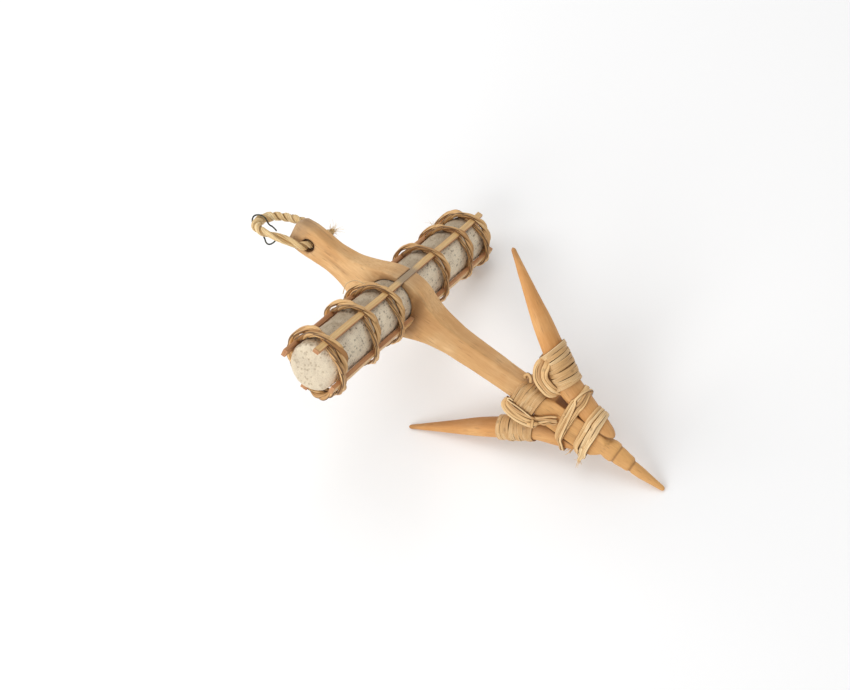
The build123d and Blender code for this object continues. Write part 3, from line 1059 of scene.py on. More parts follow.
@dataclass
class Arm:
    """A tapered arm: x, z and radius from its tip to its foot, cut flat at the seat's height.

    painted_shade is how much shade is painted on its upper side, where the shank shades it.
    """

    name: str
    node: str
    stations: tuple
    seat: float
    seed: int
    painted_shade: float = 0.0
    columns: int = 64
    row_step: float = 0.8

    def __post_init__(self) -> None:
        """Works out the arm's line: evenly spaced centres and radii, with soft bends."""
        table = np.array(self.stations)
        steps = np.hypot(*np.diff(table[:, :2], axis=0).T)
        travel = np.concatenate([[0], np.cumsum(steps)])
        self.travel = np.arange(-table[0, 2], travel[-1], self.row_step / 2)
        line = [np.interp(self.travel, travel, table[:, column]) for column in range(3)]
        before = np.minimum(self.travel, 0)
        way = (table[1, :2] - table[0, :2]) / steps[0]
        line[:2] = (line[axis] + before * way[axis] for axis in range(2))
        self.x, self.z, self.radius = (blur(values, 8.0) for values in line)
        self.way = unit(np.stack([np.gradient(self.x), np.gradient(self.z)], -1))

    def at(self, travel: Array) -> tuple[Array, Array, Array]:
        """The arm's centre, its direction along, and its radius, that far from the tip."""
        x, z, way_x, way_z, radius = (
            np.interp(travel, self.travel, values)
            for values in (self.x, self.z, *self.way.T, self.radius)
        )
        none = 0 * travel
        return np.stack([x, none, z], -1), unit(np.stack([way_x, none, way_z], -1)), radius

    def reach(self, along: Array, angle: Array) -> Array:
        """How far the arm's skin is from its centre."""
        return self.at(along)[2] + 0 * angle

    def place(self, along: Array, near: Array, up: Array) -> Array:
        """A point beside the arm's line: towards the near side, and up in the arms' plane."""
        centre, way, _ = self.at(along)
        rise = np.stack([-way[:, 2], 0 * near, way[:, 0]], -1) * np.sign(way[:, :1])
        return centre + near[:, None] * np.array([0.0, -1.0, 0.0]) + up[:, None] * rise

    def travel_at(self, x: float) -> float:
        """How far from the tip the arm's centre passes x."""
        return float(np.interp(x, self.x, self.travel))

    def build(self, layout: Layout, material: bpy.types.Material) -> None:
        """Makes the arm: a circle at each step, faceted by the knife, held at its flat seat."""
        noise = Noise(self.seed)
        travel = self.travel[::2]
        centre, way, radius = self.at(travel)
        end = rounded_end(travel - travel[0], self.stations[0][2] * 1.6)
        foot = 0.5 + 0.5 * rounded_end(travel[-1] - travel, 6.0)
        angle = np.linspace(0, TAU, self.columns, endpoint=False)
        rise = np.stack([-way[:, 2], 0 * travel, way[:, 0]], -1)
        side = np.array([0.0, 1.0, 0.0])
        out = side * np.cos(angle)[None, :, None] + rise[:, None] * np.sin(angle)[None, :, None]
        drift = 0.6 * np.sin(travel / 31)[:, None]
        facets = 0.022 * np.abs(np.cos(3.5 * (angle[None] + drift))) - 0.011
        size = (radius * end * foot)[:, None] * (1 + facets)
        grain = np.stack([np.broadcast_to(travel[:, None], size.shape),
                          size * np.cos(angle), size * np.sin(angle)], -1)
        bumps = 0.16 * noise.value(grain, (15, 4, 4)) + 0.04 * noise.value(grain, (6, 1.2, 1.2))
        size = size + bumps
        points = centre[:, None] + out * np.maximum(size, 0.05)[..., None]
        keep = np.maximum if self.seat > 0 else np.minimum
        points[..., 2] = keep(points[..., 2], self.seat + 0.03 * np.sign(self.seat))
        flat = fade(np.abs(points[..., 2] - self.seat), 0.1, 0.9)
        on_seat = ease(points[..., 0], 100, 106)
        tip = fade(travel, 0, 9)[:, None] * 0.35
        # Painted shade on the arm's upper side, where the shank shades it; it goes into the cut
        # mark.
        shade = self.painted_shade * ease(np.sin(angle) + 0.1 * noise.value(grain, 5.0), 0.1, 0.8)
        cut = np.maximum.reduce([flat * on_seat * 0.75, tip + 0 * size, shade])
        tint = np.stack([0 * size, cut, 0 * size], -1)
        mesh = make_mesh(self.name, grid_shell(points, grain, tint), layout)
        add_piece(mesh, self.name, material, Slot.ARM, (self.node,))


# ---------------------------------------------------------------- the stock


@dataclass
class Stock:
    """The stone bar in its cage of splints and twined rings.

    A splint's row is its name, where it starts and ends along the stock, and its turn round it in
    degrees. A ring's row is its name, its place on top, on the fore side and on the aft side, half
    the gap between its strands, and its girth.
    """

    stone_radius: float = 13.9
    half_length: float = 96.0
    edge: float = 3.6
    splint_width: float = 3.5
    splint_thick: float = 2.1
    splint_radius: float = 16.0
    side_splint_share: float = 1.16
    splints: tuple = (
        ("top_splint", -103.0, 100.0, 0.0), ("high_fore_splint", -101.0, -8.3, 90.0),
        ("low_fore_splint", 8.3, 99.0, 90.0), ("high_aft_splint", -99.0, -8.3, -90.0),
        ("low_aft_splint", 8.3, 99.0, -90.0), ("high_under_splint", -92.0, -8.3, 180.0),
        ("low_under_splint", 8.3, 92.0, 180.0),
    )
    rings: tuple = (
        ("high_end_lashing", -90.0, -91.6, -84.0, 2.7, 1.32),
        ("high_middle_lashing", -52.0, -53.0, -46.0, 2.4, 1.08),
        ("high_inner_lashing", -24.2, -24.0, -22.4, 2.3, 1.08),
        ("low_inner_lashing", 34.8, 34.0, 37.0, 2.2, 1.0),
        ("low_middle_lashing", 67.0, 66.6, 68.0, 2.2, 1.02),
        ("low_end_lashing", 89.6, 89.6, 91.0, 2.5, 1.22),
    )
    stray_loop: tuple = (
        (-12.6, -26.0, 14.0), (-17.6, -29.0, 14.2), (-20.2, -33.0, 11.6), (-18.4, -36.5, 7.6),
    )
    middle_radius: float = 16.2
    over_under: float = 1.75
    noise: Noise = field(default_factory=lambda: Noise(23))

    def stone(self) -> Shell:
        """The stone bar: a profile from one end's middle, over its edge and along, turned about Y.

        Every point then moves along its outward way: lumps and grit, and pits where a scattered
        centre is near and large.
        """
        edge, radius, half = self.edge, self.stone_radius, self.half_length
        face = np.linspace(0.4, radius - edge, 34)
        bend = np.linspace(0, np.pi / 2, 10)[1:]
        side = np.linspace(-half + edge, 0, 112)[1:]
        reach = np.concatenate([face, radius - edge + edge * np.sin(bend), 0 * side + radius])
        place = np.concatenate([0 * face - half, -half + edge - edge * np.cos(bend), side])
        out = np.concatenate([0 * face, np.sin(bend), 0 * side + 1])
        reach, place, out = (np.concatenate([v, v[-2::-1]]) for v in (reach, place, out))
        place[len(place) // 2 + 1:] *= -1
        angle = np.linspace(0, TAU, 270, endpoint=False)
        turn = np.stack([np.sin(angle), 0 * angle, np.cos(angle)], -1)
        points = turn[None] * reach[:, None, None]
        points[..., 1] = place[:, None]
        end = np.sqrt(np.maximum(1 - out**2, 0)) * np.sign(place)
        way = turn[None] * out[:, None, None] + np.array([0.0, 1.0, 0.0]) * end[:, None, None]
        lumps = 0.42 * self.noise.value(points, 9.0) + 0.2 * self.noise.value(points, 3.1)
        grit = 0.09 * self.noise.value(points, 1.0)
        near, own = self.noise.pits(points, 1.7)
        pit = fade(near, 0.18, 0.5) * (own > 0.62)
        broad, broad_own = self.noise.pits(points + 40, 6.0)
        dent = fade(broad, 0.1, 0.55) * (broad_own > 0.75)
        move = np.minimum(lumps, 0.3) + grit - 0.42 * pit - 0.55 * dent - 0.2
        still = np.minimum(np.linalg.norm(points[..., [0, 2]], axis=-1) / 3, 1)
        points = points + way * (move * still)[..., None]
        # Painted shade: the stone darkens in a band beside each ring, where the ring shades it. The
        # noise, the darker top and the ends' share below are real grime.
        grime_and_shade = np.zeros_like(near)
        for _, top, fore, aft, *_ in self.rings:
            away = points[..., 1] - (top + fore + aft) / 3
            grime_and_shade += np.exp(-0.5 * (away / 3.2) ** 2) * 0.24
        grime_and_shade = np.clip(grime_and_shade + 0.25 * self.noise.value(points, 7.0), 0, 0.6)
        flank = np.broadcast_to(ease(out, 0.5, 1.0)[:, None], near.shape)
        upper = ease(np.cos(angle + 0.75) + 0 * near, 0.55, 0.85) * flank
        upper = upper * (0.8 + 0.2 * self.noise.value(points, 4.0))
        grime_and_shade = np.maximum(grime_and_shade * flank + 0.3 * (1 - flank), upper)
        return grid_shell(points, points, np.stack([pit * (0.3 + 0.7 * flank), grime_and_shade, flank], -1))

    def splint(self, name: str, start: float, end: float, turn: float) -> Shell:
        """One splint: a square-cut bar that wanders a little, its skin on the outer face."""
        rng = np.random.default_rng(hash_of(name))
        at = np.arange(start, end, 0.7)
        spot = np.stack([at, np.full_like(at, turn), 0 * at], -1)
        sine, cosine = np.sin(np.radians(turn)), np.cos(np.radians(turn))
        out, side = np.array([sine, 0, cosine]), np.array([cosine, 0, -sine])
        wander, lift = 0.3 * self.noise.value(spot, 26.0), 0.12 * self.noise.value(spot, 13.0)
        points = at[:, None] * np.array([0.0, 1.0, 0.0])
        points = points + out * (self.splint_radius + lift)[:, None]
        path = Path(points + side * wander[:, None], np.broadcast_to(out, points.shape))
        grown = 1.0 if turn == 0 else self.side_splint_share
        wide, thick = self.splint_width * grown, self.splint_thick * grown
        bar = Strip(wide, thick, Profile.SQUARE, sides=36, ribs=2, rib_height=0.06)
        width = 1 + 0.05 * self.noise.value(spot, 9.0)
        shell = bar.along(path, 0.0, width, 0.3, rng.uniform(0, 300))
        skin = ease(shell.grain[:, 2], 0.3 * thick, 0.42 * thick)
        skin = skin * fade(shell.tint[:, 1], 0.86, 1.0)
        place = shell.points[:, 1]
        ends = np.minimum(place - start, end - place) < 0.75
        dust = fade(np.abs(place) + 3 * self.noise.value(shell.points, 4.0), 6, 17)
        dust = dust * (0.75 if turn == 0 else 0.2)
        heart = np.maximum(1 - skin, ends * 0.8)
        tone = np.full(len(heart), rng.uniform(0.1, 0.6))
        return replace(shell, tint=np.stack([tone, heart, dust], -1))

    def twine(self, name: str, top: float, fore: float, aft: float, half_gap: float,
              girth: float) -> Shell:
        """One ring: two strands that cross, one over and one under each splint.

        Round the stock, a strand's radius is a middle one plus a cosine of twice the angle, so it
        goes over two splints and under the other two, and its place along the stock swings by a
        sine of twice the angle, so the two lie side by side between splints. It hangs slack below
        the fore side and at the aft side, which two bell curves add.
        """
        rng = np.random.default_rng(hash_of(name))
        angle = np.linspace(0, TAU, 200, endpoint=False)
        mean, lean = (fore + aft) / 2, (fore - aft) / 2
        middle = mean + (top - mean) * np.cos(angle) + lean * np.sin(angle)
        shells = []
        for strand in (1, -1):
            phase = rng.uniform(-0.12, 0.12)
            radius = self.middle_radius + strand * self.over_under * np.cos(2 * angle + phase)
            hang = 1.7 * np.exp(-(((angle - 2.2) / 0.42) ** 2))
            hang = hang + 1.5 * np.exp(-(((angle - 4.75) / 0.4) ** 2))
            radius = np.maximum(radius, self.stone_radius + 1.0)
            radius = radius + hang * (0.3 if top > 60 else 1.0)
            slack = 0.6 * np.sin(3 * angle + rng.uniform(0, TAU))
            place = middle + strand * half_gap * np.sin(2 * angle + phase) + slack
            spoke = np.stack([np.sin(angle), 0 * angle, np.cos(angle)], -1)
            points = spoke * radius[:, None]
            points[:, 1] = place
            tilted = spoke - strand * np.array([0, 0.6, 0]) * np.sin(2 * angle)[:, None]
            path = Path(points, tilted, True).evened(0.75)
            cut = Strip(2.0 * girth, 1.3 * girth, sides=18, ribs=3, rib_height=0.06)
            travel = path.distance()
            lay = TAU * 5 * travel / (travel[-1] + travel[1]) + rng.uniform(0, TAU)
            for part in range(3):
                roll = lay + TAU * part / 3
                line = path.moved(1.0 * girth * np.cos(roll), 0.42 * girth * np.sin(roll))
                size = 1 + 0.16 * np.sin(2 * lay + part)
                tone = float(np.clip(rng.normal(0.36, 0.13), 0, 1))
                shells.append(cut.along(line, 0.3 * np.cos(roll), size, tone, rng.uniform(0, 400)))
        return join(shells)

    def loose(self, name: str) -> list[Shell]:
        """The stray ends on two rings: a thin loop on one and a tuft on the other."""
        rng = np.random.default_rng(7)
        if name == "high_inner_lashing":
            line = through(self.stray_loop)
            path = Path(line, unit(line * np.array([1.0, 0.0, 1.0])))
            return [Strip(0.6, 0.5, Profile.ROUND, 8, 0, 0.0).along(path, 0.0, 1.0, 0.9, 3.0)]
        if name == "low_middle_lashing":
            roots = np.array([(-13.2, 64.5, 13.4), (-14.6, 65.5, 11.4), (-11.0, 66.0, 15.0)])
            return fibres(roots, (-0.5, -0.7, 0.7), 18, 4.6, rng, 0.13, 0.5, 0.8)
        return []

    def build(self, layout: Layout, stone: bpy.types.Material, splint: bpy.types.Material,
              cane: bpy.types.Material) -> None:
        """Makes the stone, the seven splints and the six rings."""
        mesh = make_mesh("stone_bar", self.stone(), layout, crease=75)
        add_piece(mesh, "stone_bar", stone, Slot.STONE, ("stone_stock",))
        for name, start, end, turn in self.splints:
            mesh = make_mesh(name + "_cane", self.splint(name, start, end, turn), layout)
            add_piece(mesh, name + "_cane", splint, Slot.SPLINT, (name,))
        for name, *sizes in self.rings:
            twine = join([self.twine(name, *sizes), *self.loose(name)])
            mesh = make_mesh(name + "_twine", twine, layout, crease=60)
            add_piece(mesh, name + "_twine", cane, Slot.CANE, (name,))


def hash_of(name: str) -> int:
    """A seed from a name, the same each run."""
    return sum((index + 1) * ord(letter) for index, letter in enumerate(name))


# ---------------------------------------------------------------- the crown's bindings


def rounded_reach(angle: Array, centre: Array, height: Array, thick: Array, corner: Array) -> Array:
    """How far a rounded rectangle reaches each way: its corner's seat along that way, its radius,
    and its centre's own height along it."""
    near, up = np.abs(np.cos(angle)), np.abs(np.sin(angle))
    return (thick - corner) * near + (height - corner) * up + corner + centre * np.sin(angle)


class Core:
    """What a binding goes round, along the shank."""

    def reach(self, along: Array, angle: Array) -> Array:
        """How far the outline reaches each way."""
        raise NotImplementedError

    def place(self, along: Array, near: Array, up: Array) -> Array:
        """A point beside the shank: towards the near side, and up."""
        return np.stack([along, -near, up], -1)


@dataclass
class CrownCore(Core):
    """The crown's outline at each x: both arms and the shank, with a taut line round them."""

    upper: Arm
    lower: Arm
    shank: Shank

    def reach(self, along: Array, angle: Array) -> Array:
        """How far the outline reaches each way: the furthest of the three pieces' own reaches."""
        reaches = [rounded_reach(angle, *self.shank.sizes(along).T)]
        near, up = np.cos(angle), np.sin(angle)
        for arm in (self.upper, self.lower):
            at, way, radius = arm.at(np.interp(along, arm.x, arm.travel))
            stretch = 1 / np.abs(way[:, 0])
            reaches.append(at[:, 2] * up + radius * np.hypot(near, stretch * up))
        return np.maximum.reduce(reaches)


@dataclass
class BandCore(Core):
    """The shank's outline under its cane band."""

    centre: float = 0.5
    half_height: float = 6.3
    half_thick: float = 6.1
    corner: float = 2.0

    def reach(self, along: Array, angle: Array) -> Array:
        """How far the rounded rectangle reaches each way."""
        return rounded_reach(angle, self.centre, self.half_height, self.half_thick, self.corner)


def wrap(core: Arm | Core, along: Array, clearance: Array | float,
         soft: float = 3.0) -> Path:
    """A taut line round a core.

    With the core's reach as a function of the angle, a taut point is the reach along the angle's
    own direction plus the reach's slope square to it.

    Args:
        core: What it goes round.
        along: Its place along the core, at even angles round it.
        clearance: How far it stands off.
        soft: How much its corners are eased, in degrees.

    Returns:
        The closed line, with its outward ways.
    """
    count = len(along)
    angle = np.linspace(0, TAU, count, endpoint=False)
    reach = blur(core.reach(along, angle) + clearance, max(0.5, soft * count / 360), wrap=True)
    slope = (np.roll(reach, -1) - np.roll(reach, 1)) / (2 * TAU / count)
    near = reach * np.cos(angle) - slope * np.sin(angle)
    up = reach * np.sin(angle) + slope * np.cos(angle)
    tip = core.place(along, near + np.cos(angle), up + np.sin(angle))
    points = core.place(along, near, up)
    return Path(points, unit(tip - points), True)


@dataclass
class Bindings:
    """The cane that ties the arms to the crown: bands, throat cords and crown cords."""

    upper: Arm
    lower: Arm
    shank: Shank
    throats: tuple = (
        ("upper_throat_lashing",
         ((90.4, -3.2, 29.2), (90.8, -7.6, 27.4), (91.6, -9.2, 23.0), (94.4, -9.5, 18.8),
          (98.8, -9.3, 16.4), (103.4, -8.7, 15.2), (106.4, -5.6, 14.8), (107.0, -2.4, 14.4)),
         (99.0, 0.0, 21.0), (-4.4, -2.9, -1.4, 0.1, 1.5, 2.9)),
        ("lower_throat_lashing",
         ((85.6, -3.6, -7.6), (85.0, -7.4, -7.9), (86.7, -9.2, -9.0), (91.5, -9.5, -9.9),
          (97.0, -9.3, -9.8), (101.8, -8.8, -9.0), (105.2, -7.4, -8.4), (105.8, -3.4, -8.6)),
         (95.4, 0.0, -9.0), (-2.5, -0.9, 0.8, 2.5)),
    )
    upper_knob: tuple = (
        (90.6, -3.0, 8.2), (89.0, -2.8, 10.9), (86.8, -2.4, 11.7), (85.7, -2.0, 9.8),
        (86.6, -1.6, 7.8),
    )
    lower_curl: tuple = (
        (88.2, -8.6, -4.3), (86.0, -8.9, -3.9), (85.0, -9.0, -5.0), (86.6, -9.4, -5.4),
        (93.0, -9.4, -5.3), (101.8, -9.4, -5.8),
    )
    lower_knot: tuple = (
        ((101.2, -9.6, -10.6), (103.9, -10.4, -8.6), (106.4, -8.9, -6.6)),
        ((105.2, -9.0, -11.2), (104.2, -10.9, -8.8), (102.8, -9.3, -6.2)),
    )
    frayed_tail: tuple = (
        (134.6, -6.9, -4.0), (135.9, -7.3, -8.0), (136.0, -6.9, -11.4), (136.2, -6.2, -13.6),
    )
    cross_route: tuple = (
        (102.0, -8.6, -9.0), (104.6, -7.9, -7.0), (107.6, -7.6, -4.6), (111.0, -7.4, -1.8),
        (114.6, -7.0, 0.8),
    )

    def band(self, core: Arm | BandCore, start: float, end: float, turns: int, seed: int,
             stand: float, leans: tuple[float, float], pad: float) -> Shell:
        """A close winding: flat rings side by side, each with its own lean, width and tone.

        Args:
            core: What it is wound on.
            start: Where it starts along the core.
            end: Where it ends.
            turns: How many rings.
            seed: Sets its chance.
            stand: How far it stands off the core.
            leans: How far the first and the last ring lean along the core, in mm.
            pad: How much further it stands off underneath.

        Returns:
            The band's shell.
        """
        rng = np.random.default_rng(seed)
        angle = np.linspace(0, TAU, 180, endpoint=False)
        pitch = (end - start) / turns
        cut = Strip(pitch * 1.12, 0.85, Profile.RIBBON, sides=28, ribs=5, rib_height=0.05)
        shells = []
        for turn in range(turns):
            middle = start + (turn + 0.5) * pitch
            share = turn / (turns - 1)
            slant = leans[0] + (leans[1] - leans[0]) * share + rng.uniform(-0.15, 0.15) * pitch
            lean = slant * np.sin(angle + rng.uniform(-0.3, 0.3))
            stray = 0.07 * pitch * np.sin(2 * angle + rng.uniform(0, TAU))
            clearance = stand + rng.uniform(-0.05, 0.3) + pad * (1 - np.sin(angle)) / 2
            path = wrap(core, middle + lean + stray, clearance).evened(0.7)
            lift, share = rng.uniform(-0.1, 0.2), rng.uniform(0.92, 1.06)
            lanes = [Lane(0.0, lift, share, rng.uniform(0.48, 0.78))]
            shells += bundle(path, cut, lanes, rng, wander=0.05 * pitch, tilt=0.14)
        return join(shells)

    def throat(self, name: str, near_side: tuple, centre: tuple, lanes: tuple) -> Shell:
        """A cord loop through a throat: its near side's points, the same on the far side.

        The bundle's strands lie apart where it crosses in front, and draw together at its ends.
        """
        rng = np.random.default_rng(hash_of(name))
        far_side = [(x, -y, z) for x, y, z in near_side[::-1]]
        points = through((*near_side, *far_side), closed=True)
        outward = (points - np.array(centre)) / np.array([16.0, 7.0, 16.0]) ** 2
        path = Path(points, unit(outward + np.array([0, 0.08, 0]) * np.sign(points[:, 1:2])), True)
        path = path.evened(0.6)
        spread = 0.4 + 0.6 * ease(np.abs(path.points[:, 1]), 5.0, 9.0)
        cut = Strip(1.95, 1.35, sides=18, ribs=3, rib_height=0.05)
        shells = []
        for number, sideways in enumerate(lanes):
            lift = 0.3 * (number % 2) + 0.2 * np.sin(path.distance() / 6)
            lanes = [Lane(0.0, tone=0.44 + 0.12 * (number % 3))]
            shells += bundle(path.moved(sideways * spread, lift), cut, lanes, rng, 0.3, 0.25)
        return join(shells + self.ties(name, cut))

    def ties(self, name: str, cut: Strip) -> list[Shell]:
        """The short ends that stick out by a throat: a knob above, or a curl and a knot below."""
        routes = ((self.upper_knob, 2.0, 1.7, 0.5),)
        if name.startswith("lower"):
            first, second = self.lower_knot
            routes = ((self.lower_curl, 0.95, 0.8, 0.95), (first, 2.3, 1.2, 0.5),
                      (second, 2.0, 1.2, 0.4))
        shells = []
        for route, width, thick, tone in routes:
            line = through(route)
            path = Path(line, np.broadcast_to([0.0, -1.0, 0.2], line.shape))
            ends = rounded_end(np.minimum(path.distance(), path.distance()[::-1]), 1.2)
            tie = replace(cut, width=width, thick=thick)
            shells.append(tie.along(path, 0.0, ends, tone, 40.0))
        return shells

    def cord(self, heights: tuple, near_x: tuple, far_x: tuple, stand: float) -> Path:
        """A line round the whole crown that passes each height at its own x, near and far."""
        core = CrownCore(self.upper, self.lower, self.shank)
        angle = np.linspace(0, TAU, 360, endpoint=False)
        along = np.full(len(angle), float(np.mean(near_x)))
        for _ in range(4):
            up = wrap(core, along, stand).points
            near, far = (np.interp(up[:, 2], heights, x) for x in (near_x, far_x))
            share = ease(up[:, 1], -8.0, 8.0)
            along = blur(near + (far - near) * share, 6.0, wrap=True)
        return wrap(core, along, stand).evened(0.6)

    def middle_cords(self) -> Shell:
        """The crown's middle lashing: eight strands that part in front and meet at both ends."""
        rng = np.random.default_rng(77)
        cut = Strip(1.6, 1.1, sides=18, ribs=3, rib_height=0.06)
        heights = np.array((-16.0, -12.0, -8.0, -4.0, 0.0, 5.0, 12.0, 20.0, 27.0))
        left = np.array((124.2, 122.4, 119.4, 116.0, 113.3, 112.2, 113.0, 115.4, 117.2))
        right = np.array((126.4, 125.0, 122.8, 121.6, 121.8, 122.4, 122.6, 122.2, 120.4))
        shells = []
        for number, (low, middle, top, stand, tone) in enumerate((
            (0.08, 0.02, 0.1, 0.75, 0.5), (0.4, 0.15, 0.3, 0.95, 0.66), (0.2, 0.29, 0.62, 1.5, 0.4),
            (0.62, 0.43, 0.42, 0.8, 0.58), (0.85, 0.56, 0.8, 1.2, 0.36),
            (0.5, 0.7, 0.98, 0.75, 0.6), (0.95, 0.85, 0.15, 1.8, 0.7),
            (0.72, 0.99, 0.55, 0.9, 0.44),
        )):
            share = np.interp(heights, (-12.0, 3.0, 20.0), (low, middle, top))
            lean = np.interp(heights, (-12.0, -2.0, 14.0, 24.0), (4.6, 1.2, 0.0, -0.4))
            far = 119.0 + 0.7 * (number - 3.5) + lean
            path = self.cord(heights, left + (right - left) * share, far, stand)
            shells += bundle(path, cut, [Lane(0.0, tone=tone)], rng, wander=0.3, tilt=0.35)
        return join(shells)

    def outer_cords(self) -> Shell:
        """The crown's outer lashing: a flat pair, a thick twisted strand and its frayed end."""
        rng = np.random.default_rng(78)
        heights = (-12.0, -8.0, -4.0, 0.0, 7.0, 16.0, 22.0)
        shells = []
        flat = Strip(2.1, 1.1, sides=18, ribs=3, rib_height=0.06)
        for near, stand, tone in (
            ((132.0, 130.7, 129.2, 128.4, 127.6, 128.5, 129.0), 0.7, 0.5),
            ((133.2, 132.0, 130.7, 129.8, 129.0, 130.1, 130.6), 0.95, 0.66),
        ):
            path = self.cord(heights, near, tuple(x + 1.0 for x in near), stand)
            lanes = [Lane(0.0, share=1.1, tone=tone)]
            shells += bundle(path, flat, lanes, rng, wander=0.25, tilt=0.25)
        near = (136.0, 135.8, 135.2, 134.4, 133.8, 134.0, 134.0)
        path = self.cord(heights, near, tuple(x - 0.8 for x in near), 1.5)
        share = TAU * path.distance() / (path.distance()[-1] + 0.6)
        wide = Strip(3.3, 1.35, sides=24, ribs=5, rib_height=0.08)
        for side, tone, lag in ((-1.2, 0.9, 0.0), (1.2, 0.74, 2.2)):
            twist = np.sin(2 * share + lag)
            lane = path.moved(side * (0.8 + 0.2 * np.cos(2 * share)), 0.45 * twist)
            shells.append(wide.along(lane, 0.55 * twist, 1.0, tone, 90 + lag))
        tail = through(self.frayed_tail)
        out = np.broadcast_to([0.1, -1.0, -0.2], tail.shape)
        thin = 1 - 0.6 * np.linspace(0, 1, len(tail)) ** 2
        shells.append(wide.along(Path(tail, out), 0.2, thin, 0.85, 12.0))
        shells += fibres(tail[-6:-2], (0.15, 0.1, -1.0), 12, 3.4, rng, 0.25, 0.22, 0.8)
        knot = np.array([(128.6, -3.4, -11.8), (129.4, -3.0, -11.6)])
        shells += fibres(knot, (-0.3, -0.4, -1.0), 8, 2.6, rng, 0.35, 0.4, 0.5)
        return join(shells)

    def cross(self) -> Shell:
        """The diagonal strands from the lower throat to the middle lashing."""
        rng = np.random.default_rng(79)
        points = through(self.cross_route)
        path = Path(points, np.broadcast_to([0.0, -1.0, 0.0], points.shape)).evened(0.6)
        cut = Strip(1.6, 1.0, sides=12, ribs=3, rib_height=0.05)
        lanes = [
            Lane(-2.2), Lane(-0.8, 0.2, 1.0, 0.42), Lane(0.6, 0.0, 0.9, 0.56),
            Lane(1.9, -0.1, 0.8, 0.48),
        ]
        return join(bundle(path, cut, lanes, rng, wander=0.35, tilt=0.3, taper=1.5))

    def build(self, layout: Layout, cane: bpy.types.Material) -> None:
        """Makes every band and cord of the crown."""
        upper_span = [self.upper.travel_at(x) for x in (90.4, 107.9)]
        lower_span = [self.lower.travel_at(x) for x in (89.0, 106.4)]
        shells = {
            "shank_band": self.band(BandCore(), 86.2, 101.4, 8, 31, 0.6, (0.9, 0.5), 2.0),
            "upper_arm_band": self.band(self.upper, *upper_span, 9, 32, 1.0, (-2.4, -0.5), 1.3),
            "lower_arm_band": self.band(self.lower, *lower_span, 8, 33, 0.7, (0.5, 0.9), 0.0),
            "cross_strand": self.cross(),
            "middle_crown_lashing": self.middle_cords(),
            "outer_crown_lashing": self.outer_cords(),
        }
        for name, near_side, centre, lanes in self.throats:
            shells[name] = self.throat(name, near_side, centre, lanes)
        for name, shell in shells.items():
            mesh = make_mesh(name + "_cane", shell, layout, crease=60)
            add_piece(mesh, name + "_cane", cane, Slot.CANE, (name,))


# ---------------------------------------------------------------- the rope and its ring


